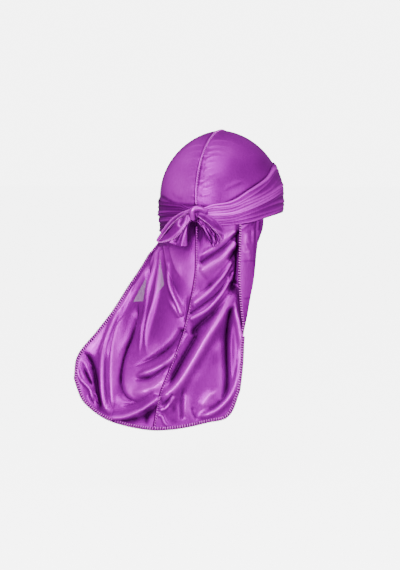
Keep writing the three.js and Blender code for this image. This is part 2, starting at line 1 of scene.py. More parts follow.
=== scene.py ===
"""A satin durag in its worn form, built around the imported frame.

Tables and shapes are in millimetres, +Z up, and become metres as each mesh is made. A place on the
tail's back can be given by its pixel in the 400 x 570 frame, through the same camera that renders it.
"""
import math

import bpy
import numpy as np
from mathutils import Matrix, Vector


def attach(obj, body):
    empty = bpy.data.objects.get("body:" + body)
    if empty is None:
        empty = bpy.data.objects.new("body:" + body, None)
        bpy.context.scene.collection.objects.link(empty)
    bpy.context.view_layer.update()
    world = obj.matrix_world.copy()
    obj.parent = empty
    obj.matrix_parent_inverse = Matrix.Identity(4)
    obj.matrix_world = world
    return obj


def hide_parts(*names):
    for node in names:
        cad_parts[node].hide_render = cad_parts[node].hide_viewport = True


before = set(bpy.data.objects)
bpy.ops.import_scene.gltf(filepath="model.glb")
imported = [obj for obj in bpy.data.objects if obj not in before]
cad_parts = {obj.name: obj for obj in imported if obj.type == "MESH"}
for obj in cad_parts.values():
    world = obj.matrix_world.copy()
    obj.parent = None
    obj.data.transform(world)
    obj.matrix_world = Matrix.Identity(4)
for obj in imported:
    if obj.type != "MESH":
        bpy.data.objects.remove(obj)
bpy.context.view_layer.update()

MM = 0.001


def table(names, rows):
    """Rows of numbers as named columns."""
    return dict(zip(names.split(), np.array(rows, float).T))


def mix(a, b, t):
    return a + (b - a) * t


def ease(x, low, high):
    t = np.clip((x - low) / (high - low), 0, 1)
    return t * t * (3 - 2 * t)


def bell(x, width, power=2.0):
    return np.exp(-np.abs(x / width) ** power)


def unit(v):
    return v / np.maximum(np.linalg.norm(v, axis=-1, keepdims=True), 1e-9)


def read(tab, name, at):
    """A column of a table read along a smooth curve, at places in its first column."""
    xs, ys = next(iter(tab.values())), tab[name]
    ahead, behind = np.minimum(np.arange(len(xs)) + 1, len(xs) - 1), np.maximum(np.arange(len(xs)) - 1, 0)
    slopes = (ys[ahead] - ys[behind]) / (xs[ahead] - xs[behind])
    at = np.clip(np.asarray(at, float), xs[0], xs[-1])
    i = np.clip(np.searchsorted(xs, at, side="left") - 1, 0, len(xs) - 2)
    span = xs[i + 1] - xs[i]
    t = (at - xs[i]) / span
    return (
        ys[i] * (1 + 2 * t) * (1 - t) ** 2
        + ys[i + 1] * t * t * (3 - 2 * t)
        + slopes[i] * span * t * (1 - t) ** 2
        + slopes[i + 1] * span * t * t * (t - 1)
    )


def wave(x, seed, scale):
    """A smooth random line through x, from -1 to 1."""
    draw = np.random.default_rng(seed)
    total = np.zeros_like(np.asarray(x, float))
    for k in range(4):
        total += draw.normal() * np.sin(2 * math.pi * x / scale * (0.5 + 0.45 * k) + draw.uniform(0, 6.28))
    return total / 3.0


# ---------- the head's form, the crown and the tail, on the same sizes as the solids ----------
WALL = 1.5
CROWN_W, CROWN_L, CROWN_D, CROWN_ROUND, CROWN_TAPER, TOP_SEAM = 79, 99, 88, 0.56, 0.1, 50
WRAP_DROP, RIM_COVER = 134, 5
SWING = math.radians(20)
TAIL_TURNS = (20, 156)
TAIL_REACH, TAIL_BACK, TAIL_DROP = 192, 113, 385
# Between these shares of its length the tail passes from the head's form to its own
LEAVES_HEAD = (0.03, 0.2)

EDGES = table("turn upper lower", [
    (-90, 0.32, 0.68), (-55, 0.4, 0.74), (-25, 0.49, 0.83), (0, 0.6, 0.93), (22, 0.685, 1),
    (55, 0.7, 0.97), (90, 0.715, 0.92), (120, 0.69, 0.915), (140, 0.575, 0.895), (160, 0.47, 0.85),
    (180, 0.36, 0.82), (205, 0.325, 0.8), (240, 0.32, 0.73), (270, 0.32, 0.68),
])
SIDES = table("down left seam right", [
    (0, 0.417, 0.177, -0.285), (0.12, 0.465, 0.177, -0.237), (0.25, 0.535, 0.18, -0.224),
    (0.4, 0.637, 0.216, -0.207), (0.55, 0.735, 0.266, -0.18), (0.7, 0.852, 0.344, -0.146),
    (0.85, 0.975, 0.422, -0.135), (1, 1, 0.461, -0.114),
])
BACKS = table("down left seam right bulge", [
    (0, 0.055, 0.79, 0.5, 1), (0.12, 0.12, 0.84, 0.54, 0.9), (0.25, 0.22, 0.87, 0.58, 0.7),
    (0.4, 0.33, 0.885, 0.63, 0.55), (0.55, 0.44, 0.9, 0.7, 0.4), (0.7, 0.53, 0.93, 0.77, 0.3),
    (0.85, 0.61, 0.97, 0.83, 0.25), (1, 0.66, 1, 0.87, 0.2),
])
HEM = table("across drop", [
    (0, 0.842), (0.05, 0.902), (0.1, 0.93), (0.2, 0.965), (0.3, 0.984), (0.4, 0.995), (0.5, 1),
    (0.6, 0.998), (0.7, 0.989), (0.8, 0.976), (0.9, 0.965), (0.95, 0.937), (1, 0.873),
])
FLAP_LIFT, HEM_LIFT = 3.2, 3.0
FLAP_DOWN = (0.02, 0.72)


def crown_share(drop):
    below = (drop - CROWN_D) / CROWN_D
    high = np.maximum(1 - np.minimum(1, below**2), 0) ** CROWN_ROUND
    return np.where(below < 0, high, 1 - CROWN_TAPER * below**2)


def head_point(turn, drop):
    share, angle = crown_share(drop), np.radians(turn)
    x, y = CROWN_W * share * np.cos(angle), CROWN_L * share * np.sin(angle)
    return np.stack(np.broadcast_arrays(x, y, WALL / 2 - drop), -1)


def head_normal(turn, drop):
    along = head_point(turn + 0.5, drop) - head_point(turn - 0.5, drop)
    down = head_point(turn, drop + 0.5) - head_point(turn, drop - 0.5)
    return unit(np.cross(down, along))


def swung(side, back, down):
    cos, sin = math.cos(SWING), math.sin(SWING)
    x, y, z = np.broadcast_arrays(side * cos - back * sin, side * sin + back * cos, -np.asarray(down, float))
    return np.stack([x, y, z], -1)


def rim_drop(turn):
    return WRAP_DROP * read(EDGES, "lower", turn) - RIM_COVER


def crown_point(turn, share):
    from_seam = np.where(turn <= 90, turn / 90, (180 - turn) / 90)
    angle = np.radians(turn)
    start = np.stack(np.broadcast_arrays(0 * from_seam, TOP_SEAM / CROWN_L * from_seam), -1)
    run = np.stack([np.cos(angle), np.sin(angle)], -1) - start
    rim = rim_drop(turn)
    below = (rim - CROWN_D) / CROWN_D
    rim_angle = np.where(below < 0, np.arccos(np.clip(-below, -1, 1)), math.pi / 2 + below)
    bend = share * rim_angle
    a, b = (run**2).sum(-1), 2 * (start * run).sum(-1)
    rim_share = np.minimum(1, crown_share(np.minimum(rim, CROWN_D)))
    reach = (-b + np.sqrt(b * b - 4 * a * ((start**2).sum(-1) - rim_share**2))) / (2 * a)
    grown = reach * np.sin(bend) / np.sin(np.minimum(rim_angle, math.pi / 2))
    plan = start + run * grown[..., None]
    size = np.linalg.norm(plan, axis=-1)
    drop = CROWN_D * (1 - np.sqrt(np.maximum(0, 1 - size ** (1 / CROWN_ROUND))))
    dome = np.stack([CROWN_W * plan[..., 0], CROWN_L * plan[..., 1], WALL / 2 - drop], -1)
    low = head_point(turn, CROWN_D * (1 + bend - math.pi / 2))
    return np.where((bend > math.pi / 2)[..., None], low, dome)


def tail_turn(across):
    left, right = TAIL_TURNS
    return np.where(across < 0.5, mix(left, 90, 2 * across), mix(90, right, 2 * across - 1))


def plain_tail(across, down):
    across, down = np.broadcast_arrays(np.asarray(across, float), np.asarray(down, float))
    turn = tail_turn(across)
    rim = rim_drop(turn)
    drop = mix(rim, TAIL_DROP * read(HEM, "drop", across), down)
    from_edge = np.where(across < 0.5, 2 * across, 2 - 2 * across)
    bulge = read(BACKS, "bulge", down)
    side_share = mix(from_edge, 1 - np.cos(from_edge * math.pi / 2), bulge)
    back_share = mix(from_edge, np.sin(from_edge * math.pi / 2), bulge)

    def place(tab, share):
        edge = np.where(across < 0.5, read(tab, "left", down), read(tab, "right", down))
        return mix(edge, read(tab, "seam", down), share)

    side, back = TAIL_REACH * place(SIDES, side_share), TAIL_BACK * place(BACKS, back_share)
    hanging = swung(side, back, drop - WALL / 2)
    on_head = head_point(turn, np.minimum(drop, rim + 2 * RIM_COVER))
    on_head[..., 2] = WALL / 2 - drop
    return mix(on_head, hanging, ease(down, *LEAVES_HEAD)[..., None])


def tail_normal(across, down, step=0.004):
    across, down = np.broadcast_arrays(np.asarray(across, float), np.asarray(down, float))
    along = plain_tail(np.minimum(across + step, 1), down) - plain_tail(np.maximum(across - step, 0), down)
    under = plain_tail(across, np.minimum(down + step, 1)) - plain_tail(across, np.maximum(down - step, 0))
    return unit(np.cross(under, along))


# ---------- the camera, which also places what is read off by pixel ----------
VIEW_AZ, VIEW_EL = math.radians(20), math.radians(4)
VIEW_FAR, VIEW_SCALE = 2200.0, 1.35
FRAME_W, FRAME_H = 400, 570
LEFTWARD = np.array([math.cos(VIEW_AZ), math.sin(VIEW_AZ), 0])
BACKWARD = np.array([-math.sin(VIEW_AZ), math.cos(VIEW_AZ), 0])
UPWARD = np.array([0, 0, 1.0])
LOOK = -(BACKWARD * math.cos(VIEW_EL) + UPWARD * math.sin(VIEW_EL))
CAM_UP = UPWARD * math.cos(VIEW_EL) - BACKWARD * math.sin(VIEW_EL)
AIM = LEFTWARD * 28.7 - UPWARD * 206.2
CAM_AT = AIM - LOOK * VIEW_FAR
FOCAL = VIEW_FAR / VIEW_SCALE


def pixel(points):
    """Where points are seen in the frame."""
    rel = points - CAM_AT
    deep = rel @ LOOK
    x = FRAME_W / 2 - FOCAL * (rel @ LEFTWARD) / deep
    y = FRAME_H / 2 - FOCAL * (rel @ CAM_UP) / deep
    return np.stack([x, y], -1)


def seen_at(x, y, back):
    """The point seen at a pixel, that far back in millimetres from the head's middle."""
    x, y, back = np.broadcast_arrays(np.asarray(x, float), y, back)
    aside, under = (x - FRAME_W / 2) / FOCAL, (y - FRAME_H / 2) / FOCAL
    ray = LOOK - LEFTWARD * aside[..., None] - CAM_UP * under[..., None]
    far = (back - CAM_AT @ BACKWARD) / (ray @ BACKWARD)
    return CAM_AT + ray * far[..., None]


# ---------- folds of the tail ----------
def smooth_line(points, steps=14):
    """A smooth line through a few points."""
    p = np.array(points, float)
    if len(p) == 2:
        return mix(p[0], p[1], np.linspace(0, 1, steps)[:, None])
    keyed = {"t": np.arange(len(p), dtype=float)}
    for k in range(p.shape[1]):
        keyed[str(k)] = p[:, k]
    at = np.linspace(0, len(p) - 1, steps)
    return np.stack([read(keyed, str(k), at) for k in range(p.shape[1])], -1)


def along_line(line, at):
    """Distance from a line, positive on its right as it runs on the picture, and the share of it passed."""
    runs = line[1:] - line[:-1]
    lengths = np.linalg.norm(runs, axis=1)
    starts = np.concatenate([[0], np.cumsum(lengths)[:-1]])
    best, side, share = np.full(at.shape[:-1], 1e9), np.zeros(at.shape[:-1]), np.zeros(at.shape[:-1])
    for start, run, length, passed in zip(line[:-1], runs, lengths, starts):
        rel = at - start
        t = np.clip((rel @ run) / length**2, 0, 1)
        off = rel - t[..., None] * run
        far = np.linalg.norm(off, axis=-1)
        closer = far < best
        turn = run[0] * rel[..., 1] - run[1] * rel[..., 0]
        best = np.where(closer, far, best)
        side = np.where(closer, np.sign(turn), side)
        share = np.where(closer, (passed + t * length) / lengths.sum(), share)
    return best * side, share


# Where the enlarged view of the tail starts in the frame, and how much larger it is
TAIL_VIEW = (70, 230, 7.762)

# Each fold: its height in mm, its width in the enlarged view (one number, or its left and its right
# one), how much of its start and end fades, and the places that it runs through, from its upper end on.
TAIL_FOLDS = [
    # right of the seam
    (3, 26, 24, 0.1, 0.2, [(1300, -14), (1221, 58), (1140, 128), (1060, 175), (1000, 212)]),
    (-4.8, 20, 18, 0.1, 0.04, [(1298, 24), (1252, 72), (1190, 130), (1095, 198), (1005, 260)]),
    (4.5, 26, 46, 0.05, 0.1, [(1290, 84), (1246, 138), (1180, 214), (1095, 268), (1000, 330)]),
    (-4.2, 26, 34, 0.1, 0.25, [(1290, 126), (1222, 260), (1160, 346), (1083, 424), (990, 505)]),
    (6.5, 34, 20, 0.1, 0.08, [(1280, 215), (1212, 332), (1140, 420), (1064, 496), (940, 592)]),
    (-4.5, 13, 10, 0.1, 0.04, [(1268, 296), (1207, 405), (1130, 500), (1040, 572), (920, 656)]),
    (4, 9, 22, 0.1, 0.03, [(1256, 340), (1222, 420), (1160, 516), (1064, 618), (930, 694)]),
    (-4.5, 18, 40, 0.05, 0.35, [(1296, 0), (1290, 140), (1284, 290), (1262, 420), (1232, 560)]),
    (-6.5, 36, 44, 0.1, 0.15, [(1290, 370), (1245, 440), (1190, 540), (1110, 640), (1010, 730),
        (915, 830)]),
    (9.5, 46, 60, 0.1, 0.06, [(1320, 420), (1246, 526), (1184, 634), (1124, 736), (1044, 866), (970, 994),
        (906, 1098), (848, 1184), (782, 1256), (700, 1320)]),
    (-4, 34, 26, 0.2, 0.15, [(1010, 760), (945, 880), (875, 1000), (815, 1110), (750, 1220)]),
    (-9, 34, 11, 0.06, 0.2, [(1250, 580), (1226, 680), (1214, 850), (1216, 1000), (1222, 1150),
        (1214, 1240), (1184, 1300), (1130, 1345)]),
    (6, 24, 30, 0.2, 0.08, [(1290, 500), (1288, 600), (1312, 740), (1330, 900), (1326, 1020), (1306, 1130),
        (1270, 1235), (1222, 1318), (1150, 1388), (1080, 1428), (990, 1452)]),
    (2.5, 26, 0.3, 0.3, [(1150, 1230), (1070, 1300), (1010, 1400)]),
    (-2.5, 14, 0.3, 0.3, [(1190, 1300), (1120, 1365), (1040, 1408)]),
    (-3, 12, 16, 0.25, 0.1, [(880, 1200), (866, 1290), (860, 1370), (864, 1480)]),
    (1.2, 24, 26, 0.35, 0.35, [(912, 1240), (900, 1350), (900, 1470)]),
    (-2, 8, 0.2, 0.2, [(945, 1370), (950, 1420), (980, 1480)]),
    (3.4, 9, 0.08, 0.2, [(678, 1436), (714, 1448), (734, 1494), (770, 1528)]),
    (3.8, 11, 0.1, 0.15, [(812, 1285), (778, 1340), (738, 1386), (684, 1402)]),
    (-3.5, 12, 0.1, 0.3, [(792, 1258), (768, 1300), (738, 1338), (686, 1366)]),
    # left of the seam
    (6.5, 30, 20, 0.05, 0.05, [(690, 120), (618, 255), (534, 384), (444, 504), (374, 614), (322, 734),
        (281, 856), (254, 970), (246, 1061), (245, 1157), (248, 1240), (261, 1330), (304, 1441)]),
    (-4.5, 12, 14, 0.2, 0.1, [(414, 600), (352, 725), (309, 850), (286, 950), (279, 1080), (280, 1200),
        (291, 1320), (312, 1410)]),
    (3.6, 9, 28, 0.2, 0.1, [(434, 630), (370, 730), (334, 850), (318, 960), (312, 1080), (313, 1190),
        (318, 1300), (326, 1405)]),
    (-6.5, 30, 14, 0.15, 0.3, [(562, 560), (528, 700), (492, 840), (448, 940), (416, 1050), (402, 1150),
        (412, 1235), (450, 1300), (530, 1332), (610, 1322)]),
    (-4.2, 9, 0.02, 0.4, [(684, 110), (636, 240), (580, 362), (526, 466), (470, 560)]),
    (5, 12, 0.02, 0.4, [(692, 120), (655, 250), (615, 380), (585, 480), (562, 600), (545, 720), (532, 850),
        (524, 980)]),
    (-4.4, 9, 0.04, 0.4, [(690, 180), (668, 260), (632, 400), (610, 520), (585, 660), (562, 780),
        (552, 930)]),
    (3.8, 9, 20, 0.04, 0.4, [(704, 140), (684, 300), (667, 420), (655, 500), (628, 600), (598, 700),
        (577, 800), (575, 890), (596, 980)]),
    (5, 16, 14, 0.02, 0.05, [(716, 110), (736, 240), (752, 350), (770, 440), (802, 520), (838, 595),
        (862, 672)]),
    (-3, 12, 0.03, 0.4, [(748, 115), (762, 230), (786, 350), (822, 450), (860, 520)]),
    (2, 9, 40, 0.1, 0.4, [(770, 120), (792, 210), (822, 300), (868, 390)]),
    (1.6, 16, 14, 0.5, 0.1, [(740, 500), (796, 590), (856, 680)]),
    (-1.6, 20, 0.4, 0.4, [(918, 500), (898, 620), (880, 740)]),
    (-4.5, 18, 24, 0.04, 0.5, [(884, 765), (830, 850), (770, 915), (700, 968), (610, 1018), (490, 1072)]),
    (5.5, 20, 18, 0.04, 0.25, [(824, 948), (772, 1008), (700, 1058), (606, 1102), (500, 1128)]),
    (-3.6, 16, 20, 0.15, 0.5, [(775, 1035), (705, 1092), (625, 1144), (545, 1162), (480, 1148)]),
    (3, 40, 0.3, 0.3, [(770, 1110), (690, 1195), (590, 1250), (470, 1262)]),
    (-2, 24, 14, 0.2, 0.2, [(670, 1232), (585, 1306), (480, 1350), (390, 1362)]),
    (9, 30, 14, 0.06, 0.03, [(697, 1298), (640, 1340), (560, 1393), (480, 1432), (400, 1456),
        (312, 1462)]),
    (-3.5, 10, 26, 0.1, 0.2, [(690, 1352), (640, 1404), (560, 1448), (470, 1472), (370, 1488)]),
    (-5, 24, 22, 0.2, 0.1, [(110, 920), (156, 1000), (195, 1090), (215, 1190), (228, 1290), (254, 1385)]),
    (2.6, 34, 26, 0.3, 0.3, [(300, 700), (240, 800), (190, 880), (140, 940)]),
    (2.2, 7, 0.3, 0.2, [(266, 860), (242, 925), (228, 965)]),
    (3, 11, 10, 0.12, 0.15, [(50, 1050), (70, 1140), (112, 1190), (150, 1232), (166, 1280), (180, 1335)]),
    (2.5, 8, 0.2, 0.2, [(176, 1250), (198, 1290), (208, 1350)]),
    (-3, 12, 0.2, 0.2, [(84, 1010), (118, 1090), (150, 1160), (182, 1220)]),
    (-2, 8, 0.2, 0.3, [(150, 1270), (162, 1310), (190, 1355)]),
    (2.5, 11, 0.3, 0.3, [(100, 945), (142, 1010), (170, 1075)]),
]

# Broad areas of painted highlight and painted shade: how much, their width like a fold's, and the places they
# run through
TAIL_PAINTED_LIGHT = [
    # The first is a painted shadow beside the turned-back edge
    (-0.75, 14, 16, [(1300, 10), (1298, 150), (1294, 300), (1270, 420), (1246, 500)]),
    (0.35, 60, [(800, 190), (870, 270), (925, 400)]), (-0.2, 26, 20, [(925, 50), (962, 140)]),
    (-0.75, 40, 70, [(962, -70), (970, 30)]), (-0.6, 40, [(1010, -20), (1080, 60)]),
    (-0.6, 24, 26, [(1000, 20), (1010, 120), (1000, 180)]), (-0.35, 36, [(1075, 60), (1050, 120)]),
    (0.5, 56, 46, [(1190, 225), (1110, 270), (1030, 330)]), (0.3, 60, 40, [(1240, 60), (1130, 130)]),
    (-0.1, 34, [(1290, 190), (1200, 260), (1110, 340), (1010, 440)]),
    (-0.15, 40, 46, [(1260, 440), (1150, 590), (1050, 690), (960, 780)]),
    (-0.35, 36, [(960, 800), (880, 960), (800, 1120)]), (-0.3, 110, [(690, 620), (650, 800)]),
    (-0.3, 60, [(860, 440), (840, 500)]), (0.35, 30, [(860, 800), (790, 860)]),
    (0.35, 34, [(660, 900), (630, 940)]), (0.5, 40, [(210, 840), (150, 930)]),
    (0.12, 44, [(400, 780), (370, 960), (352, 1180)]),
    (-0.45, 22, 10, [(500, 790), (446, 930), (412, 1050), (400, 1180)]),
    (-0.5, 24, [(604, 1138), (540, 1166)]), (0.5, 66, 56, [(700, 1190), (590, 1240), (480, 1250)]),
    (0.6, 14, 12, [(520, 1414), (420, 1452), (310, 1464)]),
    (0.6, 12, [(812, 968), (762, 1016), (692, 1062), (590, 1108)]), (-0.4, 60, [(1190, 800), (1130, 1000)]),
    (-0.2, 90, [(1080, 1000), (960, 1180)]), (0.45, 30, [(1160, 890), (1140, 915)]),
    (0.5, 20, [(1097, 1282), (1055, 1338), (1014, 1412)]),
    (-0.3, 24, [(1070, 1412), (1140, 1370), (1186, 1310)]),
    (-0.35, 20, [(836, 1320), (790, 1404), (716, 1424)]), (-0.4, 20, [(752, 1440), (800, 1480)]),
    (-0.35, 16, [(600, 1420), (596, 1500)]), (0.3, 30, [(990, 1110), (960, 1150)]),
    (0.4, 26, 22, [(1335, 880), (1330, 1040)]), (-0.3, 22, [(1255, 640), (1262, 900), (1266, 1090)]),
    (-0.55, 30, [(620, 1400), (600, 1480)]), (-0.3, 26, [(500, 1470), (360, 1490)]),
    (-0.6, 26, [(120, 960), (180, 1080), (205, 1240), (230, 1380)]),
    (0.35, 30, 26, [(80, 1010), (120, 1060)]), (-0.5, 22, [(110, 1100), (160, 1180)]),
    (-0.35, 26, [(700, 100), (720, 60)]), (0.18, 40, [(910, 1290), (905, 1440)]),
    (0.3, 24, 20, [(808, 570), (852, 650)]), (-0.25, 24, [(800, 1380), (820, 1480)]),
]
# Two thin places that the light comes through, as corners in the enlarged view
SHEER = [[(602, 345), (572, 556), (486, 562)], [(698, 190), (736, 425), (666, 512)]]

# Faint folds that fan out from the crown's seam, and its areas of painted highlight and painted shade, in the
# frame
CROWN_FOLDS = [(*row, 0.1, 0.8, points) for *row, points in [
    (0.5, 1.4, 1.2, [(209, 143), (218, 141), (232, 143), (246, 151)]),
    (0.4, 1.2, 1, [(208, 148), (218, 146), (234, 149)]),
    (0.4, 1.2, 1, [(206, 154), (215, 151), (228, 153)]),
    (0.5, 1.2, 1, [(205, 161), (213, 157), (224, 157)]),
    (0.4, 1.1, 1, [(204, 166), (211, 163), (222, 162)]),
    (0.5, 1.2, 1, [(203.5, 172), (211, 168), (220, 167)]),
    (0.5, 1.2, 1, [(203, 178), (211, 175), (222, 172)]),
    (0.4, 1.2, 1, [(202, 184), (210, 181), (220, 178)]), (0.5, 1.2, [(201, 190), (209, 188), (222, 182)]),
    (0.4, 1.2, [(200.5, 196), (208, 194), (218, 189)]),
    (0.5, 1.2, [(204, 146), (196, 146), (186, 150), (178, 158)]),
    (0.4, 1.2, 1, [(202, 152), (194, 152), (184, 157)]),
    (0.4, 1.1, 1, [(200, 160), (193, 159), (184, 163)]),
    (0.4, 1.1, 1, [(199, 168), (192, 168), (185, 171)]),
    (0.4, 1.2, 1, [(198, 177), (191, 177), (184, 180)]),
    (0.4, 1.2, 1, [(197, 186), (190, 187), (182, 189)]),
]] + [
    (-0.5, 2, 0.3, 0.3, [(222, 192), (232, 186), (246, 180)]),
    (-0.5, 2.4, 2, 0.3, 0.3, [(170, 190), (176, 197), (186, 200)]),
]
CROWN_PAINTED_LIGHT = [
    (0.35, 14, [(172, 176), (176, 192)]), (0.3, 7, [(196, 142), (186, 160)]),
    (-0.2, 12, [(240, 188), (226, 194), (212, 198)]), (0.3, 8, [(212, 146), (228, 150)]),
    (-0.25, 10, 12, [(222, 166), (240, 172)]), (-0.3, 8, [(262, 165), (268, 172)]),
    # Painted shadow along the top of the band, and a painted dark line beside the seam
    (-0.9, 1.3, [(268, 176.5), (257, 184), (239, 195), (228.6, 201.2), (217.9, 205.6), (197, 206)]),
    (-0.9, 1.5, [(197, 205.6), (190, 205), (176, 203.6), (163, 196.5)]),
    (-0.9, 1.1, [(213.2, 134), (205.8, 145), (201.9, 161), (199.2, 179), (196.2, 197), (195.6, 206)]),
    (0.48, 22, [(180, 160), (178, 188)]), (0.1, 22, [(238, 160), (225, 175)]),
]


# A fold's profile, how thin its ends get and how folds that meet blend; the reach and strength of the painted
# highlight along crests and of the painted shade along valleys
FOLD_SHARP, THIN_END, BLEND = 1.5, 0.6, 2.2
CREST_HIGHLIGHT_REACH, VALLEY_SHADE_REACH, CREST_HIGHLIGHT, VALLEY_SHADE = 0.4, 0.75, 1.25, 0.95


def fold_parts(folds, at, shift=0.0):
    """For each fold its height, its distance over its width, and how far it has faded in.

    A place that is lifted moves on the picture, by shift for each mm, and the fold's line is where its crest
    ends up.
    """
    for height, *widths, start, end, points in folds:
        off, share = along_line(smooth_line(points, 6 * len(points)), at + height * shift)
        fade = ease(share, 0, max(start, 0.02)) * (1 - ease(share, 1 - max(end, 0.02), 1))
        yield height, off / np.where(off > 0, widths[0], widths[-1]), fade


def lifted(folds, at, sharp=FOLD_SHARP, shift=0.0):
    """The height of a set of folds at places on the picture."""
    crests, valleys = np.zeros((2, *at.shape[:-1]))
    for height, off, fade in fold_parts(folds, at, shift):
        total = crests if height > 0 else valleys
        total += (abs(height) * bell(off / mix(THIN_END, 1, fade), 1, sharp) * fade) ** BLEND
    return crests ** (1 / BLEND) - valleys ** (1 / BLEND)


def paint_light_and_shade(folds, areas, at, full=4.0, shift=0.0, placed=None):
    """How much lighter or darker the cloth is painted: a painted highlight along crests, painted shade along
    valleys, and painted light and shade over broad areas.

    A fold of full mm shows in full. The areas are read at placed, where the lifted cloth is seen.
    """
    crests, valleys = np.zeros((2, *at.shape[:-1]))
    for height, off, fade in fold_parts(folds, at, shift):
        total, reach = (crests, CREST_HIGHLIGHT_REACH) if height > 0 else (valleys, VALLEY_SHADE_REACH)
        total += (min(1, abs(height) / full) * bell(off / reach, 1, FOLD_SHARP) * fade) ** 2
    tone = CREST_HIGHLIGHT * np.sqrt(crests) - VALLEY_SHADE * np.sqrt(valleys)
    for amount, *widths, points in areas:
        off, _ = along_line(smooth_line(points), at if placed is None else placed)
        tone = tone + amount * bell(off, np.where(off > 0, widths[0], widths[-1]))
    return np.clip(tone, -1, 1)


def inside(corners, at):
    """How far places are inside a triangle's sides."""
    near = np.full(at.shape[:-1], 1e9)
    for k in range(3):
        start, end = np.array(corners[k], float), np.array(corners[(k + 1) % 3], float)
        run = (end - start) / np.linalg.norm(end - start)
        rel = at - start
        near = np.minimum(near, run[0] * rel[..., 1] - run[1] * rel[..., 0])
    return near


def enlarged(seen, view=TAIL_VIEW):
    """Places in the frame, in an enlarged view of it."""
    return (seen - view[:2]) * view[2]


PUCKER_HEIGHT, PUCKER_REACH = 0.4, 11


def crown_lift(points, normals):
    """Puckers beside the seam, and the crown's faint folds."""
    arc = CROWN_L * np.arctan2(points[..., 1], points[..., 2] + CROWN_D)
    aside = np.abs(points[..., 0])
    hand = np.sign(points[..., 0])
    pull = wave(arc - 0.25 * aside + 40 * hand, 21, 17) + 0.6 * wave(arc + 0.2 * aside - 30 * hand, 22, 9)
    pucker = PUCKER_HEIGHT * pull * bell(aside, PUCKER_REACH, 1.3) * ease(aside, 0, 2.5)
    facing = ease(normals @ BACKWARD, 0.05, 0.4)
    return pucker + lifted(CROWN_FOLDS, pixel(points), 1.7) * facing


FLAP_FOLDS = [
    (0.9, 10, 0.2, 0.4, [(1362, 20), (1345, 100), (1372, 180), (1378, 300)]),
    (0.8, 10, 14, 0.2, 0.4, [(1425, 20), (1418, 200), (1412, 400), (1400, 560)]),
    (-1, 6, 0.1, 0.3, [(1448, 20), (1440, 300), (1424, 480), (1402, 600)]),
    (0.8, 7, 9, 0.2, 0.5, [(1402, -20), (1408, 50), (1396, 130)]),
    (-0.8, 6, 0.2, 0.5, [(1384, -10), (1388, 60), (1380, 120)]),
]
# Painted highlight and painted shade on the turned-back edge
FLAP_PAINTED_LIGHT = [
    (0.22, 90, [(1370, 0), (1360, 300), (1350, 600)]), (0.8, 13, [(1346, 36), (1358, 86)]),
    (0.6, 7, [(1325, 122), (1337, 170), (1370, 158)]), (-0.6, 9, [(1318, 0), (1368, -42)]),
    (0.6, 8, [(1318, -20), (1362, -50)]), (-0.3, 7, [(1316, 240), (1424, 238)]),
    (-0.7, 9, [(1430, -80), (1421, 0), (1417, 194), (1411, 427), (1401, 543)]),
    (0.5, 9, [(1444, -70), (1438, 0), (1434, 194), (1428, 427), (1412, 548)]),
    (-0.8, 8, [(1460, -66), (1454, -6)]), (-0.7, 8, [(1396, -44), (1410, -74)]),
    (-0.35, 8, [(1340, 530), (1414, 526)]), (0.12, 40, [(1360, 340), (1360, 500)]),
    (-0.2, 30, [(1310, 600), (1330, 760)]),
]
SHEER_MOST, RIM_CALM = 0.2, 0.12

# The hem of the turned-back edge in the frame, how wide its shade is and the rows where it ends
FLAP_SHADE, FLAP_ENDS = 9, (318, 334)
FLAP_LINE = np.array([
    (237.9, 222), (237.6, 238), (237.4, 248.2), (236.6, 273), (237, 285.5), (237.9, 298), (239.5, 314.5),
    (242.3, 330), (246, 342),
])


def past_flap_line(seen):
    return seen[..., 0] - np.interp(seen[..., 1], FLAP_LINE[:, 1], FLAP_LINE[:, 0])


def under_flap(seen):
    """1 on the open tail, falling to 0 under the turned-back edge."""
    return 1 - ease(past_flap_line(seen), 0, FLAP_SHADE) * (1 - ease(seen[..., 1], *FLAP_ENDS))


def tail_shift(across, down, plain):
    """How far 1 mm of lift moves a place of the tail in the enlarged view."""
    return enlarged(pixel(plain + tail_normal(across, down))) - enlarged(pixel(plain))


def tail_lift(across, down, plain):
    """The height of the tail's folds, which are lower at its start and along its rim."""
    seen = pixel(plain)
    calm = ease(down, 0.01, 0.08) * mix(RIM_CALM, 1, ease(np.minimum(across, 1 - across), 0, 0.05))
    return lifted(TAIL_FOLDS, enlarged(seen), shift=tail_shift(across, down, plain)) * calm * under_flap(seen)


def tail_point(across, down):
    plain = plain_tail(across, down)
    return plain + tail_normal(across, down) * tail_lift(across, down, plain)[..., None]


# ---------- cloth meshes ----------
def weld(grids):
    """Points and quads of grids, joined where they meet, and the points' places in the grids.

    Each grid comes with a mask of the cells that it covers, or None.
    """
    points, quads, first = [], [], 0
    for grid, covers in grids:
        columns, rows = grid.shape[:2]
        i, j = np.meshgrid(np.arange(columns - 1), np.arange(rows - 1), indexing="ij")
        at = first + i * rows + j
        cells = np.stack([at, at + 1, at + rows + 1, at + rows], -1).reshape(-1, 4)
        quads.append(cells if covers is None else cells[covers.reshape(-1)])
        points.append(grid.reshape(-1, 3))
        first += columns * rows
    points, quads = np.concatenate(points), np.concatenate(quads)
    used = np.unique(quads)
    _, index, inverse = np.unique(np.round(points[used], 2), axis=0, return_index=True, return_inverse=True)
    to_used = np.full(len(points), -1)
    to_used[used] = inverse.reshape(-1)
    return points[used][index], to_used[quads], used[index]


def vertex_normals(points, quads):
    a, b, c, d = (points[quads[:, k]] for k in range(4))
    normal = np.cross(c - a, d - b)
    total = np.zeros_like(points)
    for k in range(4):
        np.add.at(total, quads[:, k], normal)
    return unit(total)


def show(name, data):
    made = bpy.data.objects.new(name, data)
    bpy.context.scene.collection.objects.link(made)
    return made


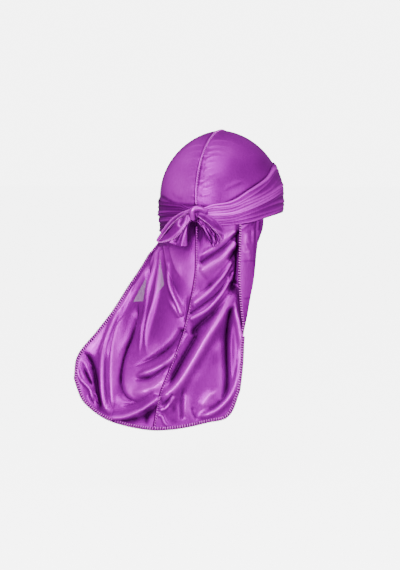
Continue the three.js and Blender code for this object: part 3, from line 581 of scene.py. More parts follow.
def make_mesh(name, points, faces, material, attributes=None):
    mesh = bpy.data.meshes.new(name)
    mesh.from_pydata((points * MM).tolist(), [], faces)
    mesh.update()
    for key, values in (attributes or {}).items():
        layer = mesh.attributes.new(key, "FLOAT", "POINT")
        layer.data.foreach_set("value", np.asarray(values, np.float32))
    mesh.polygons.foreach_set("use_smooth", np.full(len(mesh.polygons), True))
    mesh.materials.append(material)
    return show(name, mesh)


def thick(name, points, quads, normals, outer, inner, material, attributes):
    """A closed wall from outer to inner millimetres off a surface."""
    count = len(points)
    top, under = points + normals * outer, points + normals * inner
    a, b = quads.reshape(-1), np.roll(quads, -1, axis=1).reshape(-1)
    forward, backward = a.astype(np.int64) * count + b, b.astype(np.int64) * count + a
    open_edge = ~np.isin(forward, backward)
    rim = np.stack([b[open_edge], a[open_edge], a[open_edge] + count, b[open_edge] + count], -1)
    faces = np.concatenate([quads, quads[:, ::-1] + count, rim]).tolist()
    both = {key: np.concatenate([values, values]) for key, values in attributes.items()}
    return make_mesh(name, np.concatenate([top, under]), faces, material, both)


def tube_faces(count, sides, first=0):
    """The faces of a closed tube of rings of points, the first point of which has the number first."""
    faces = []
    for k in range(count - 1):
        for m in range(sides):
            n, a = (m + 1) % sides, first + k * sides
            faces.append((a + m, a + n, a + sides + n, a + sides + m))
    last = first + (count - 1) * sides
    return faces + [tuple(first + m for m in reversed(range(sides))), tuple(last + m for m in range(sides))]


def tubes(name, lines, radii, material, sides):
    """One mesh of round tubes, one along each line of points."""
    points, faces = [], []
    for line, radius in zip(lines, np.broadcast_to(radii, len(lines))):
        along = unit(np.gradient(line, axis=0))
        aside = np.cross(along, UPWARD)
        weak = np.linalg.norm(aside, axis=1) < 0.2
        aside[weak] = np.cross(along[weak], [0, 1, 0])
        aside = unit(aside)
        other = np.cross(along, aside)
        angle = 2 * math.pi * np.arange(sides) / sides
        ring = aside[:, None] * np.cos(angle)[:, None] + other[:, None] * np.sin(angle)[:, None]
        faces += tube_faces(len(line), sides, sum(len(p) for p in points))
        points.append((line[:, None] + ring * radius).reshape(-1, 3))
    return make_mesh(name, np.concatenate(points), faces, material)


def loft(rows, along, across, folds=()):
    """A smooth surface through rows of points. Each point is a pixel and how far back it lies."""
    lines = np.stack([smooth_line(column, along) for column in np.array(rows, float).swapaxes(0, 1)], 1)
    surface = np.stack([smooth_line(line, across) for line in lines])
    surface[..., 2] += lifted(folds, surface[..., :2])
    return seen_at(*np.moveaxis(surface, -1, 0))


# Where the enlarged view of the bow starts in the frame, how much larger it is, and the bow's painted
# highlights and painted shade in it
BOW_VIEW = (150, 195, 17.42)
BOW_PAINTED_LIGHT = {
    "left_loop": [
        (0.9, 20, 14, [(700, 262), (520, 322), (400, 412), (290, 550), (200, 670), (125, 785)]),
        (-1.1, 15, [(680, 322), (540, 384), (430, 472), (322, 610), (232, 720), (160, 800)]),
        (0.9, 16, [(610, 490), (534, 606), (440, 696), (350, 766), (236, 808)]),
        (1, 17, [(640, 300), (600, 330), (510, 420), (482, 480), (500, 545), (560, 556), (612, 480),
            (644, 350)]),
        (-0.5, 22, [(570, 400), (548, 500)]), (0.8, 26, [(220, 700), (160, 760), (110, 812)]),
        (-0.3, 60, [(420, 560), (330, 680)]),
    ],
    "left_end": [
        (0.8, 13, [(622, 470), (560, 640), (500, 835)]), (0.9, 30, [(610, 520), (608, 700), (604, 880)]),
        (-0.6, 22, [(540, 600), (486, 760), (430, 850)]), (-0.9, 14, [(655, 440), (654, 600), (652, 800)]),
        (0.5, 26, [(420, 790), (350, 836)]),
    ],
    "knot": [
        (1, 26, [(736, 250), (738, 330), (752, 430)]), (-0.8, 13, [(700, 280), (700, 420)]),
        (-0.9, 12, [(784, 300), (796, 400)]), (-0.2, 40, [(860, 310), (930, 330)]),
    ],
    "band": [
        (1, 28, [(745, 420), (725, 330), (745, 250), (800, 228), (900, 240), (960, 280)]),
    ],
    "right_loop": [
        (0.6, 16, [(790, 330), (960, 346), (1100, 396), (1200, 496), (1270, 600), (1282, 690),
            (1220, 800)]),
        (1.1, 15, [(800, 366), (900, 440), (1040, 570), (1140, 680), (1190, 742)]),
        (-1.1, 16, [(790, 404), (890, 490), (1020, 620), (1110, 720), (1160, 794)]),
        (-0.25, 50, [(950, 400), (1100, 480), (1180, 570)]),
        (0.9, 16, [(1130, 600), (1200, 640), (1280, 682)]), (0.8, 15, [(1200, 740), (1262, 800)]),
        (0.7, 16, [(880, 330), (1000, 390), (1080, 450)]),
    ],
    "right_end": [
        (1.1, 14, [(930, 540), (1000, 700), (1055, 810)]),
        (1.1, 14, [(1000, 600), (1080, 724), (1112, 860)]),
        (1.1, 13, [(1098, 670), (1116, 800), (1102, 880)]),
        (1, 14, [(1166, 690), (1192, 800), (1152, 870)]), (-1, 17, [(890, 530), (955, 700), (1010, 810)]),
        (-1, 13, [(968, 590), (1040, 712), (1084, 830)]), (-1, 12, [(1052, 640), (1100, 770), (1106, 850)]),
        (-0.9, 13, [(1136, 700), (1154, 800), (1130, 870)]),
    ],
}


# Painted highlight and painted shade of a bow piece, from its listed areas
def bow_painted_light(points, part):
    return paint_light_and_shade([], BOW_PAINTED_LIGHT[part], enlarged(pixel(points), BOW_VIEW))


def dress(piece, node_name):
    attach(piece, "root")
    if node_name:
        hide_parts(node_name)
    return piece


def ribbon(name, grid, node_name, part, outer=0.45, inner=-0.45):
    points, quads, _ = weld([(grid, None)])
    # Painted light and shade of the bow piece
    normals, tone = vertex_normals(points, quads), {"tone": bow_painted_light(points, part)}
    return dress(thick(name, points, quads, normals, outer, inner, SATIN, tone), node_name)


def resample(path, pitch):
    """Points along a path, evenly spaced."""
    far = np.concatenate([[0], np.cumsum(np.linalg.norm(np.diff(path, axis=0), axis=1))])
    count = max(2, int(far[-1] / pitch) + 1)
    at = np.linspace(0, far[-1], count)
    return np.stack([np.interp(at, far, path[:, k]) for k in range(path.shape[1])], -1)


def resample_both(path, normals, pitch):
    both = resample(np.concatenate([path, normals], axis=1), pitch)
    return both[:, :3], unit(both[:, 3:])


def sweep(name, path, normals, section, material, swell, seed):
    """A closed ridge along a path. section is [(aside, height, painted light and shade)] from one foot to the
    other.
    """
    along = unit(np.gradient(path, axis=0))
    aside = unit(np.cross(along, normals))
    size = 1 + swell * wave(np.arange(len(path), dtype=float), seed + 70, 9)
    section = np.array(section, float)
    out = (section[:, 1] * size[:, None])[..., None]
    ring = path[:, None] + aside[:, None] * section[:, :1] + normals[:, None] * out
    tone = np.broadcast_to(section[:, 2], ring.shape[:2]).reshape(-1)
    faces = tube_faces(len(path), len(section))
    return make_mesh(name, ring.reshape(-1, 3), faces, material, {"tone": tone})


# How far apart threads are and how high they arch, how uneven they are, and how thick
STITCH_PITCH, BOW_PITCH, STITCH_ARCH, STITCH_UNEVEN = 3.2, 2.2, 0.35, 0.08
SEAM_THREAD, HEM_THREAD, BOW_THREAD = 0.45, 0.7, 0.38


def stitch_lines(path, normals, pitch, low, high, slant, seed):
    """Short threads across a seam or hem. low and high are the (aside, height) of their two ends."""
    points, normal = resample_both(path, normals, pitch)
    along = unit(np.gradient(points, axis=0))
    aside = unit(np.cross(along, normal))
    draw = np.random.default_rng(seed)
    lines = []
    for p, n, t, a in zip(points, normal, along, aside):
        shift = pitch * (slant + STITCH_UNEVEN * draw.normal())
        start = p + a * low[0] + n * low[1] - t * shift
        end = p + a * high[0] + n * high[1] + t * shift
        over = (start + end) / 2 + n * STITCH_ARCH
        lines.append(np.array([start, mix(start, over, 0.6), over, mix(over, end, 0.4), end]))
    return lines


# ---------- materials ----------
def node(tree, kind, **values):
    made = tree.nodes.new(kind)
    for key, value in values.items():
        if key in made.inputs:
            made.inputs[key].default_value = value
        else:
            setattr(made, key, value)
    return made


def link(tree, *ends):
    """Links nodes. Each four of ends are a node and its output, and the node and its input that it feeds."""
    for k in range(0, len(ends), 4):
        source, output, target, entry = ends[k : k + 4]
        tree.links.new(source.outputs[output], target.inputs[entry])


def set_inputs(target, values):
    for key, value in values.items():
        target.inputs[key].default_value = value


def new_material(name):
    material = bpy.data.materials.new(name)
    material.use_nodes = True
    return material, material.node_tree, material.node_tree.nodes["Principled BSDF"]


def satin(name, dark, plain, light, roughness, metallic, sheer=False):
    """Purple cloth painted from dark to light by an attribute of painted shade and painted highlight, with a
    cloudy unevenness of colour, a grain and a weave.
    """
    material, tree, shader = new_material(name)
    set_inputs(shader, {
        "Metallic": metallic, "Specular IOR Level": 0.05, "Specular Tint": (0.55, 0.0, 0.55, 1),
    })
    place = node(tree, "ShaderNodeTexCoord")
    tone = node(tree, "ShaderNodeAttribute", attribute_name="tone")
    cloud = node(tree, "ShaderNodeTexNoise", Scale=28.0, Detail=3.0)
    uneven = node(tree, "ShaderNodeMapRange")
    set_inputs(uneven, {"To Min": 0.29, "To Max": 0.49})
    stretch = node(tree, "ShaderNodeMapping", Scale=(1.0, 1.0, 0.25))
    grain = node(tree, "ShaderNodeTexNoise", Scale=600.0, Detail=3.0)
    speckle = node(tree, "ShaderNodeMath", operation="MULTIPLY_ADD")
    speckle.inputs[1].default_value = 0.22
    on_ramp = node(tree, "ShaderNodeMath", operation="MULTIPLY_ADD")
    on_ramp.inputs[1].default_value = 0.5
    # The ramp runs from the painted shade colour through the plain colour to the painted highlight colour
    ramp = node(tree, "ShaderNodeValToRGB")
    ramp.color_ramp.elements[0].position, ramp.color_ramp.elements[0].color = 0.0, (*dark, 1)
    ramp.color_ramp.elements[1].position, ramp.color_ramp.elements[1].color = 1.0, (*light, 1)
    ramp.color_ramp.elements.new(0.5).color = (*plain, 1)
    link(
        tree,
        place, "Object", cloud, "Vector", cloud, "Fac", uneven, "Value",
        place, "Object", stretch, "Vector", stretch, "Vector", grain, "Vector",
        grain, "Fac", speckle, 0, uneven, "Result", speckle, 2,
        tone, "Fac", on_ramp, 0, speckle, 0, on_ramp, 2,
        on_ramp, 0, ramp, "Fac", ramp, "Color", shader, "Base Color",
    )
    fine = node(tree, "ShaderNodeTexNoise", Scale=420.0, Detail=2.0)
    rough = node(tree, "ShaderNodeMapRange")
    set_inputs(rough, {"To Min": roughness - 0.04, "To Max": roughness + 0.05})
    threads = node(tree, "ShaderNodeTexWave", Scale=900.0, Distortion=1.5, Detail=1.0)
    threads.bands_direction = "DIAGONAL"
    bump = node(tree, "ShaderNodeBump", Strength=0.06, Distance=0.0002)
    link(
        tree,
        place, "Object", fine, "Vector", fine, "Fac", rough, "Value", rough, "Result", shader, "Roughness",
        place, "Object", threads, "Vector", threads, "Fac", bump, "Height", bump, "Normal", shader, "Normal",
    )
    if sheer:
        thin = node(tree, "ShaderNodeAttribute", attribute_name="sheer")
        clear = node(tree, "ShaderNodeBsdfTransparent", Color=(1, 0.93, 1, 1))
        blend = node(tree, "ShaderNodeMixShader")
        link(
            tree,
            thin, "Fac", blend, 0, shader, 0, blend, 1, clear, 0, blend, 2,
            blend, 0, tree.nodes["Material Output"], "Surface",
        )
    return material


# The purple of painted shade, the plain purple, and the purple of painted highlight
PAINTED_SHADE_PURPLE, PLAIN, PAINTED_HIGHLIGHT_PURPLE = (0.045, 0.0, 0.055), (0.38, 0.0, 0.43), (0.93, 0.03, 1.0)
SATIN = satin("satin", PAINTED_SHADE_PURPLE, PLAIN, PAINTED_HIGHLIGHT_PURPLE, 0.34, 0.55)
TAIL_SATIN = satin("tail_satin", PAINTED_SHADE_PURPLE, PLAIN, PAINTED_HIGHLIGHT_PURPLE, 0.34, 0.55, sheer=True)
# The hem rolls and the tail's seam cord are painted a darker purple: painted shade along them
SEAM_PAINTED_SHADE = satin("satin_seam", (0.02, 0, 0.025), (0.1, 0.0, 0.115), (0.5, 0.0, 0.55), 0.5, 0.2)
THREAD = satin("thread", (0.6, 0.0, 0.65), (1.0, 0.15, 1.0), (1.0, 0.24, 1.0), 0.5, 0.1)

# ---------- panels ----------
FRONT_COLUMNS, TAIL_COLUMNS, CROWN_ROWS, TAIL_ROWS, FLAP_COLUMNS = 50, 110, 80, 230, 22


def spaced(count, fine):
    """Shares from 0 to 1, closer together near both ends."""
    t = np.linspace(0, 1, count + 1)
    return mix(t, ease(t, 0, 1), fine)


half_across = 0.5 * spaced(TAIL_COLUMNS, 0.3)
downs = spaced(TAIL_ROWS, 0.15)
shares = np.linspace(0, 1, CROWN_ROWS + 1)


def crown_grid(turns):
    turn, share = np.meshgrid(turns, shares, indexing="ij")
    points = crown_point(turn, share)
    normal = unit(np.cross(np.gradient(points, axis=1), np.gradient(points, axis=0)))
    normal[..., 0] = np.where(np.abs(points[..., 0]) < 0.01, 0, normal[..., 0])
    normal = unit(normal)
    calm = (1 - ease(share, 0.93, 1))[..., None]
    # Painted light and shade on the crown, only where it faces the view
    tone = paint_light_and_shade(CROWN_FOLDS, CROWN_PAINTED_LIGHT, pixel(points), 1.7) * ease(normal @ BACKWARD, 0.05, 0.3)
    return points + normal * crown_lift(points, normal)[..., None] * calm, tone


def joined(front_turns, acrosses, left):
    """One panel's grid: crown and tail, with its mask of covered cells."""
    tail_turns = tail_turn(acrosses)
    turns = np.concatenate([front_turns[:-1], tail_turns] if left else [tail_turns, front_turns[1:]])
    crown, crown_painted_light = crown_grid(turns)
    across, down = np.meshgrid(acrosses, downs[1:], indexing="ij")
    grid = np.zeros((len(turns), CROWN_ROWS + 1 + TAIL_ROWS, 3))
    tone, sheer = np.zeros(grid.shape[:2]), np.zeros(grid.shape[:2])
    grid[:, : CROWN_ROWS + 1], tone[:, : CROWN_ROWS + 1] = crown, crown_painted_light
    first = len(front_turns) - 1 if left else 0
    hanging = slice(first, first + len(acrosses)), slice(CROWN_ROWS + 1, None)
    plain, grid[hanging] = plain_tail(across, down), tail_point(across, down)
    seen, placed = pixel(plain), enlarged(pixel(grid[hanging]))
    shift = tail_shift(across, down, plain)
    # Painted highlight along the tail's crests, painted shade along its valleys and over broad areas, taken
    # off under the turned-back edge
    hanging_painted_light = paint_light_and_shade(TAIL_FOLDS, TAIL_PAINTED_LIGHT, enlarged(seen), shift=shift, placed=placed)
    tone[hanging] = hanging_painted_light * under_flap(seen)
    sheer[hanging] = SHEER_MOST * sum(ease(inside(corners, placed), -3, 6) for corners in SHEER)
    covers = np.zeros((len(turns) - 1, CROWN_ROWS + TAIL_ROWS), bool)
    covers[:, :CROWN_ROWS] = True
    covers[first : first + len(acrosses) - 1, CROWN_ROWS:] = True
    return grid, covers, tone, sheer


left_turns = np.linspace(-90, TAIL_TURNS[0], FRONT_COLUMNS + 1)
right_turns = np.linspace(TAIL_TURNS[1], 270, FRONT_COLUMNS + 1)
left_grid, left_covers, left_painted_light, left_sheer = joined(left_turns, half_across, True)
right_grid, right_covers, right_painted_light, right_sheer = joined(right_turns, 1 - half_across[::-1], False)

# The right edge turned back on itself, up to the flap's line and at least a little
LEAST_REACH = 0.008
flap_rows = np.where((downs >= FLAP_DOWN[0]) & (downs <= FLAP_DOWN[1]))[0]
across_right = np.linspace(0.55, 1, 181)
across_right = across_right[across_right > 0.7]
flap_reach = []
for down in downs[flap_rows]:
    beyond = past_flap_line(pixel(plain_tail(across_right, down)))
    flap_reach.append(1 - np.interp(0, beyond, across_right))
flap_reach = np.maximum(np.array(flap_reach), LEAST_REACH)
ended = flap_reach <= LEAST_REACH + 0.0001
last_row = 1 + int(np.argmax(ended)) if ended.any() else len(flap_rows)
flap_rows, flap_reach = flap_rows[:last_row], flap_reach[:last_row]
flap_share, flap_down = np.meshgrid(spaced(FLAP_COLUMNS, 0.4), downs[flap_rows], indexing="ij")
flap_across = 1 - flap_share * flap_reach
flap_seen = enlarged(pixel(plain_tail(flap_across, flap_down)))
flap_lift = FLAP_LIFT * (0.5 + 0.5 * ease(flap_share, 0, 0.16))
flap_lift = flap_lift + HEM_LIFT * ease(flap_share, 0.2, 1) * ease(flap_reach, 0.01, 0.08)
flap_lift = flap_lift + lifted(FLAP_FOLDS, flap_seen) * ease(flap_share, 0, 0.15)
flap_grid = plain_tail(flap_across, flap_down) + tail_normal(flap_across, flap_down) * flap_lift[..., None]
# Painted highlight and shade on the turned-back edge
flap_painted_light = paint_light_and_shade(FLAP_FOLDS, FLAP_PAINTED_LIGHT, flap_seen, 2.0)
right_grid[TAIL_COLUMNS, CROWN_ROWS + flap_rows] = flap_grid[0]

both_points, both_quads, _ = weld([(left_grid, left_covers), (right_grid, right_covers), (flap_grid, None)])
both_normals = vertex_normals(both_points, both_quads)


def normals_like(points):
    """The joined surface's normals at points that are on it."""
    keys = {tuple(p): n for p, n in zip(np.round(both_points, 2).tolist(), both_normals)}
    return np.array([keys[tuple(p)] for p in np.round(points, 2).tolist()])


# The outer and inner side of each cloth's wall, off its surface
PANEL_WALL, STRAP_WALL = (0.75, 0.05), (0.5, -0.4)


def panel(name, grids, painted_lights, sheers, node_name):
    points, quads, source = weld(grids)
    # Carries the painted light and shade of each grid onto the panel's points
    spread = {
        key: np.concatenate([values.reshape(-1) for values in parts])[source]
        for key, parts in (("tone", painted_lights), ("sheer", sheers))
    }
    return dress(thick(name, points, quads, normals_like(points), *PANEL_WALL, TAIL_SATIN, spread), node_name)


panel_left = panel("panel_left_cloth", [(left_grid, left_covers)], [left_painted_light], [left_sheer], "panel_left")
panel_right = panel(
    "panel_right_cloth", [(right_grid, right_covers), (flap_grid, None)], [right_painted_light, flap_painted_light],
    [right_sheer, 0 * flap_painted_light], "panel_right",
)

# ---------- wrap ----------
WRAP_HEIGHT, END_TURN, END_WIDTH, END_LIFT = 1.95, 14, 0.62, 3.4
LEFT_END, RIGHT_END, OVERLAP, CROSSING_GAP = 87.5, 94.5, 25, 1.6
PLEATS, PLEAT_HEIGHT, PLEAT_ABOVE, PLEAT_BELOW = 13, 1.9, 0.06, 0.022


def wrap_point(turn, share, lift, end_turn, pleat):
    place = np.where(turn < -90, turn + 360, np.where(turn > 270, turn - 360, turn))
    upper = WRAP_DROP * read(EDGES, "upper", place)
    lower = WRAP_DROP * read(EDGES, "lower", place)
    at_end = 1 - ease(np.abs(turn - end_turn), 0, END_TURN)
    drop = mix(mix(upper, lower, share), (upper + lower) / 2, at_end * (1 - END_WIDTH))
    height = WRAP_HEIGHT + pleat + lift + END_LIFT * at_end
    return head_point(place, drop) + head_normal(place, drop) * height[..., None]


def pleats(turn, share, seed, end_turn):
    """Fine folds that run along the strap and draw together at the knot: their height, and a painted
    highlight on their crests with painted shade between them.
    """
    draw = np.random.default_rng(seed)
    far = np.abs(turn - end_turn)
    total = 0.35 * np.ones_like(share)
    for k in range(PLEATS):
        home = (k + 0.6) / PLEATS
        at = home + 0.035 * wave(far, seed * 50 + k, 130) + 0.02 * draw.normal()
        size = draw.uniform(0.5, 1.5) * (0.65 + 0.35 * wave(far, seed * 90 + k, 160))
        off = share - at
        width = np.where(off < 0, PLEAT_ABOVE, PLEAT_BELOW)
        total = np.maximum(total, np.abs(size) * PLEAT_HEIGHT * bell(off, width, 1.4))
    height = total * ease(share, -0.03, 0.05) * (1 - ease(share, 0.97, 1.02))
    return height, np.clip(total / 1.3 - 0.75, -0.9, 0.8)


def strap_painted_light(turn, share):
    """Painted light and shade on the straps: the right strap painted lighter near the knot, along its upper
    roll and round its far side, with painted shade in the gap at the knot; the left one painted darker.
    """
    near = np.abs(turn - (LEFT_END + RIGHT_END) / 2)
    right = ease(turn, 90, 96) * (1 - ease(turn, 165, 190))
    left = 1 - ease(turn, 84, 90)
    lighter = 0.75 * bell(near - 16, 16) * bell(share - 0.45, 0.4) + 0.95 * bell(share - 0.045, 0.03)
    gap_shade = 0.9 * bell(near, 7) * ease(share, 0.5, 0.75)
    around = 0.38 * ease(turn, 118, 145) * (1 - ease(turn, 200, 230))
    return right * lighter + around - 0.12 * left * ease(turn, 10, 40) - gap_shade


def strap(name, node_name, turns, end_turn, seed, lift_at):
    turn, share = np.meshgrid(np.linspace(*turns, 300), np.linspace(0, 1, 110), indexing="ij")
    pleat, tone = pleats(turn, share, seed, end_turn)
    grid = wrap_point(turn, share, lift_at(turn), end_turn, pleat)
    points, quads, source = weld([(grid, None)])
    normals = vertex_normals(points, quads)
    # Painted highlight on the pleats and painted light and shade of the strap
    tone = {"tone": np.clip(tone + strap_painted_light(turn, share), -1, 1).reshape(-1)[source]}
    return dress(thick(name, points, quads, normals, *STRAP_WALL, SATIN, tone), node_name)


def over_right(turn):
    """How far the left strap is lifted where it crosses the right one on the forehead."""
    return (WRAP_HEIGHT + CROSSING_GAP) * (1 - ease(turn, -90 + OVERLAP, -90 + 2 * OVERLAP))


wrap_left = strap("wrap_left_cloth", "wrap_left", (-90 - OVERLAP, LEFT_END), LEFT_END, 5, over_right)
wrap_right = strap("wrap_right_cloth", "wrap_right", (RIGHT_END, 270 + OVERLAP), RIGHT_END, 6, np.zeros_like)

# ---------- bow ----------
# Each loop is a row of stations from the knot out to its tip and back: (near edge), (far edge).
def edges(*stations):
    return [[near, mix(np.array(near), np.array(far), 0.5), far] for near, far in stations]


left_loop = edges(
    ((191, 211.5, 110), (190.5, 209.5, 101)),
    ((181.5, 216.6, 109), (180.5, 213.6, 98)),
    ((173.5, 222.9, 105), (172, 219.2, 95)),
    ((166.5, 231, 101), (165, 227.4, 91)),
    ((160.6, 239, 97), (158.6, 236.5, 89)),
    ((158.0, 242, 97.5), (156.8, 240.5, 91)),
    ((161, 242.4, 101), (159.8, 240.4, 96)),
    ((167, 241.2, 106), (165.5, 232.6, 98)),
    ((174.5, 238.4, 109.5), (172.8, 224.6, 101)),
    ((180.8, 232.4, 111), (180.2, 218.6, 104)),
    ((185, 226.2, 110.5), (185.8, 214.8, 106)),
    ((191, 219, 109), (191.2, 212, 108)),
)
left_grid_bow = loft(left_loop, 170, 56, [
    (1.6, 0.8, 0.1, 0.1, [(187.5, 211.5), (183, 216), (178.8, 221), (178.6, 226), (182, 226.6), (185.6, 221),
        (186.6, 215)]),
    (-1.2, 1.2, 0.2, 0.2, [(185, 216), (182.4, 219.5), (181.2, 223.5)]),
    (1.0, 1.4, 2.2, 0.2, 0.3, [(187, 222), (180, 229), (172, 235)]),
])
bow_left = ribbon("bow_loop_left_cloth", left_grid_bow, "bow_loop_left", "left_loop")

right_loop = edges(
    ((195.5, 214.6, 113), (196.5, 208.8, 101)),
    ((201, 218.8, 115), (203, 210.3, 102)),
    ((207.2, 223.4, 116), (208.8, 215.2, 102)),
    ((212.2, 228, 115), (215, 218.8, 100)),
    ((216.4, 232.4, 113), (220.2, 223.6, 98)),
    ((219.8, 236.5, 110), (223.2, 229.8, 96)),
    ((221.2, 241, 105), (223.6, 236, 95)),
    ((217.5, 242.5, 101), (220.6, 240.5, 93)),
    ((211, 237, 102), (214.5, 235, 94)),
    ((204.5, 230, 104), (207.5, 228, 96)),
    ((199, 223.5, 106), (201, 221, 99)),
    ((196, 218, 108), (197.5, 215.5, 102)),
)
right_grid_bow = loft(right_loop, 170, 56, [
    (-1.6, 1.6, 2.2, 0.2, 0.2, [(203, 214.5), (210, 219), (217, 226)]),
    (1.6, 1.2, 1.4, 0.2, 0.2, [(213.5, 229), (218, 231.5), (222.5, 234)]),
    (1.0, 1.2, 1.4, 0.3, 0.3, [(206, 213.5), (213, 219), (219, 227)]),
])
bow_right = ribbon("bow_loop_right_cloth", right_grid_bow, "bow_loop_right", "right_loop")

left_end = loft([
    [(187.5, 218, 104), (188.2, 218, 105.5), (189.2, 218, 106.5), (190.5, 218, 104)],
    [(183.6, 227, 102.5), (185.4, 227, 104.5), (187, 227, 107.5), (189, 227, 103)],
    [(177, 236, 101.5), (180.6, 236.5, 103), (183.6, 236.6, 108.5), (188, 236.5, 102)],
    [(168.8, 242.4, 101), (176.2, 245.2, 102), (181.2, 246.4, 109.5), (187, 246, 102)],
], 60, 40, [
    (0.9, 1.0, 1.4, 0.1, 0.1, [(185, 226), (180, 234), (174, 242)]),
    (-0.8, 0.8, 1.0, 0.1, 0.1, [(184.5, 230), (180, 238), (176, 244)]),
])
tie_left = ribbon("tie_end_left_cloth", left_end, "tie_end_left", "left_end")

END_PLEATS, END_PLEAT_DEEP = 3.6, 2.1
right_end = loft([
    [(197.5, 219, 105), (199, 219, 106), (200.5, 219, 105)],
    [(202.2, 229, 105), (206.4, 228, 107), (210.6, 227, 105)],
    [(207, 238, 105), (212.4, 237.6, 108), (217.6, 236, 104)],
    [(212, 246.2, 105), (215.8, 246.8, 108), (219.2, 243.4, 103)],
], 60, 90)
# Its pleats open towards its end
pleat_share = np.linspace(0, 1, 90)
pleat_turn = 2 * math.pi * (END_PLEATS * pleat_share + 0.12 * np.sin(9 * pleat_share))
pleating = END_PLEAT_DEEP * np.cos(pleat_turn)[None] * ease(np.linspace(0, 1, 60), 0.0, 0.6)[:, None]
right_end = right_end + BACKWARD * pleating[..., None]
tie_right = ribbon("tie_end_right_cloth", right_end, "tie_end_right", "right_end")


# The knot's middle and half sizes: pixels in the frame, and millimetres back
KNOT_AT, KNOT_HALF = (194.3, 213.4, 107), (4.9, 7.0, 9.5)


def knot_cloth():
    """A wrapped knot: a drop-shaped body with soft folds that run over it."""
    around, upward = np.linspace(0, 2 * math.pi, 97), np.linspace(-math.pi / 2, math.pi / 2, 61)
    turn, rise = np.meshgrid(around, upward, indexing="ij")
    fat = 1 - 0.22 * np.sin(rise)
    x, z, y = np.cos(turn) * np.cos(rise) * fat, np.sin(rise), np.sin(turn) * np.cos(rise) * fat
    groove = 1 + 0.1 * np.cos(3 * turn + 1.6 * rise + 0.4) * np.cos(rise)
    (at_x, at_y, at_back), (half_x, half_y, half_back) = KNOT_AT, KNOT_HALF
    seen_x = at_x - half_x * x * groove + 1.6 * ease(z, 0.1, 1)
    return seen_at(seen_x, at_y - half_y * z, at_back + half_back * y * groove)


ribbon("knot_cloth", knot_cloth(), "knot", "knot", 0.4, 0.0)
band_line = smooth_line([
    (193.6, 220, 113), (192.4, 216, 116.5), (192.2, 211.6, 118), (194.6, 208.8, 118), (199.4, 208.3, 116.5),
    (203.6, 210.2, 113), (207, 213.6, 107),
], 48)
band_path = seen_at(band_line[:, 0], band_line[:, 1], band_line[:, 2])
band_turn = 2 * math.pi * np.arange(15) / 14
band_along = unit(np.gradient(band_path, axis=0))
band_aside = unit(np.cross(band_along, BACKWARD))
band_out = np.cross(band_aside, band_along)
band_size = 3.3 * np.sin(math.pi * np.linspace(0.1, 0.95, 48)) ** 0.4
band_grid = band_path[:, None] + band_size[:, None, None] * (
    band_aside[:, None] * np.cos(band_turn)[:, None] + 0.7 * band_out[:, None] * np.sin(band_turn)[:, None]
)
band = ribbon("knot_band", band_grid[:, ::-1], None, "band", 0.3, -0.3)

# ---------- seams, hems and their stitches ----------
def crown_line():
    """The crown's middle line from the forehead over the top to the back, and its normals."""
    share, turn = np.linspace(1, 0, 90), np.linspace(-90, 90, 80)[1:-1]
    front, back = crown_point(-90 + 0 * share, share), crown_point(90 + 0 * share, share[::-1])
    line = np.concatenate([front, crown_point(turn, 0 * turn), back])
    line[:, 0] = 0
    line = resample(line, 1.2)
    return line, np.cross([1.0, 0, 0], unit(np.gradient(line, axis=0)))


line, normals = crown_line()
front_edge = -WRAP_DROP * read(EDGES, "upper", -90) + 1.5
back_edge = -WRAP_DROP * read(EDGES, "upper", 90) + 0.5
keep = np.where(line[:, 1] < 0, line[:, 2] > front_edge, line[:, 2] > back_edge)
seam_path, seam_normals = line[keep], normals[keep]
# The cord's section: aside and height in mm, then painted shade at its feet and a painted highlight on its
# top
RIDGE = [
    (2.1, 0.4, -1), (2.0, 1.3, -1), (1.2, 2.1, -0.6), (0.2, 2.3, 0.5), (-0.9, 2.0, 0.3), (-1.7, 1.3, -0.4),
    (-2.1, 0.4, -0.8),
]
crown_seam = dress(
    sweep("crown_seam_cord", seam_path, seam_normals, RIDGE, SATIN, 0.12, 1), "crown_seam"
)
seam_threads = stitch_lines(seam_path, seam_normals, STITCH_PITCH, (-0.5, 2.35), (-2.2, 1.1), 0.12, 3)

down = np.linspace(0.0, 1, 260)
line = tail_point(0.5, down)
normals = tail_normal(0.5 + 0 * down, down)
low_edge = -WRAP_DROP * read(EDGES, "lower", 90) - 0.8
keep = line[:, 2] < low_edge
tail_path, tail_normals = line[keep], normals[keep]
# The tail seam's section: aside and height in mm, then painted shade at its feet and a painted highlight on
# its top
SMALL_RIDGE = [
    (1.7, 0.4, -1), (1.4, 1.3, -1), (0.4, 1.8, 0.2), (-0.7, 1.5, 0.6), (-1.4, 0.9, 0), (-1.7, 0.4, -1),
]
tail_seam = dress(
    sweep("tail_seam_cord", tail_path, tail_normals, SMALL_RIDGE, SEAM_PAINTED_SHADE, 0.1, 2), "tail_seam"
)
seam_threads += stitch_lines(tail_path, tail_normals, STITCH_PITCH, (-0.1, 1.9), (-1.7, 0.9), 0.12, 4)
seam_stitches = dress(tubes("seam_stitches", seam_threads, SEAM_THREAD, THREAD, 5), None)

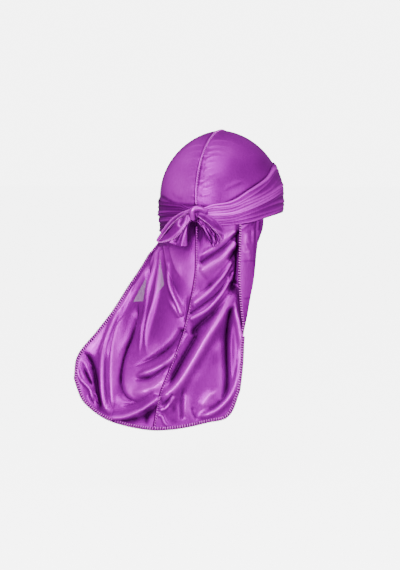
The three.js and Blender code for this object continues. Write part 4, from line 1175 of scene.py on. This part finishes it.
RIM_ROLL, FLAP_ROLL, RIM_PITCH = 2.2, 1.4, 1.3
hem_down = np.linspace(0.03, 1, 240)
hem_across = np.linspace(0, 1, 240)
below_flap = np.linspace(FLAP_DOWN[1] - 0.02, 1, 110)
rim_across = np.concatenate([0 * hem_down, hem_across[1:], 1 + 0 * below_flap[1:]])
rim_down = np.concatenate([hem_down, 1 + 0 * hem_across[1:], below_flap[::-1][1:]])
rim_path, rim_normals = resample_both(
    tail_point(rim_across, rim_down), tail_normal(rim_across, rim_down), RIM_PITCH
)
rim_path = rim_path + 0.3 * rim_normals
flap_normals = tail_normal(flap_across[-1], flap_down[-1])
flap_edge = flap_grid[-1] + 0.8 * flap_normals
hem = dress(tubes("hem_rolls", [rim_path, flap_edge], [RIM_ROLL, FLAP_ROLL], SEAM_PAINTED_SHADE, 8), None)
hem_threads = stitch_lines(rim_path, rim_normals, STITCH_PITCH, (2.5, 1.2), (-2.5, 1.5), 0.16, 5)
hem_threads += stitch_lines(flap_edge, flap_normals, STITCH_PITCH, (1.5, 0.9), (-1.5, 1.2), 0.12, 7)
hem_stitches = dress(tubes("hem_stitches", hem_threads, HEM_THREAD, THREAD, 5), None)


def loop_threads(grid, column, seed):
    """Stitches along one edge of a bow piece."""
    path = grid[:, column]
    inward = grid[:, column + (1 if column == 0 else -1)] - path
    along = np.gradient(path, axis=0)
    normal = unit(np.cross(along, inward))
    normal *= np.sign(normal @ BACKWARD)[:, None]
    return stitch_lines(path, normal, BOW_PITCH, (1.1, 0.3), (-1.1, 0.5), 0.25, seed)


bow_threads = loop_threads(left_grid_bow, 0, 8) + loop_threads(right_grid_bow, 0, 9)
bow_threads += loop_threads(left_grid_bow, -1, 10)
bow_stitches = dress(tubes("bow_stitches", bow_threads, BOW_THREAD, THREAD, 5), None)

# ---------- stage, light and camera ----------
def area_light(name, side, up, back, size, power):
    """A square lamp that points at the part, placed along the view's own directions."""
    data = bpy.data.lights.new(name, "AREA")
    data.energy, data.size = power, size
    lamp = show(name, data)
    at = (LEFTWARD * side + BACKWARD * back + UPWARD * up) * MM
    lamp.location = at
    lamp.rotation_mode = "QUATERNION"
    lamp.rotation_quaternion = (Vector(AIM * MM) - Vector(at)).to_track_quat("-Z", "Y")


# how far to the side, up and back in mm, the size in m and the power in W
area_light("key", 600, 300, 2100, 1.3, 42)
area_light("fill", -1500, -60, 1500, 1.6, 25)
area_light("top", 0, 1800, 900, 1.4, 26)

world = bpy.data.worlds.new("studio")
bpy.context.scene.world = world
world.use_nodes = True
tree = world.node_tree
lit = tree.nodes["Background"]
set_inputs(lit, {"Color": (0.95, 0.96, 1.0, 1), "Strength": 0.3})
seen = node(tree, "ShaderNodeBackground", Color=(1, 1, 1, 1), Strength=6.0)
path = node(tree, "ShaderNodeLightPath")
blend = node(tree, "ShaderNodeMixShader")
link(
    tree, path, "Is Camera Ray", blend, 0, lit, 0, blend, 1, seen, 0, blend, 2,
    blend, 0, tree.nodes["World Output"], "Surface",
)

FLOOR_HALF, FLOOR_DOWN = 40000, 470
floor_material, _, shader = new_material("floor")
set_inputs(shader, {
    "Base Color": (0.9, 0.9, 0.9, 1), "Roughness": 0.8,
    "Emission Color": (1, 1, 1, 1), "Emission Strength": 5.5,
})
corners = FLOOR_HALF * np.array([(-1, -1, 0), (1, -1, 0), (1, 1, 0), (-1, 1, 0)])
floor = make_mesh("floor", corners, [(0, 1, 2, 3)], floor_material)
floor.location.z = -FLOOR_DOWN * MM
floor.visible_diffuse = floor.visible_glossy = False

SENSOR = 36
camera_data = bpy.data.cameras.new("camera")
camera_data.sensor_width = SENSOR
camera_data.lens = FOCAL * SENSOR / FRAME_H
camera = show("camera", camera_data)
right, up, back = Vector(-LEFTWARD), Vector(CAM_UP), Vector(-LOOK)
camera.matrix_world = Matrix([
    *((right[k], up[k], back[k], CAM_AT[k] * MM) for k in range(3)), (0, 0, 0, 1),
])
bpy.context.scene.camera = camera
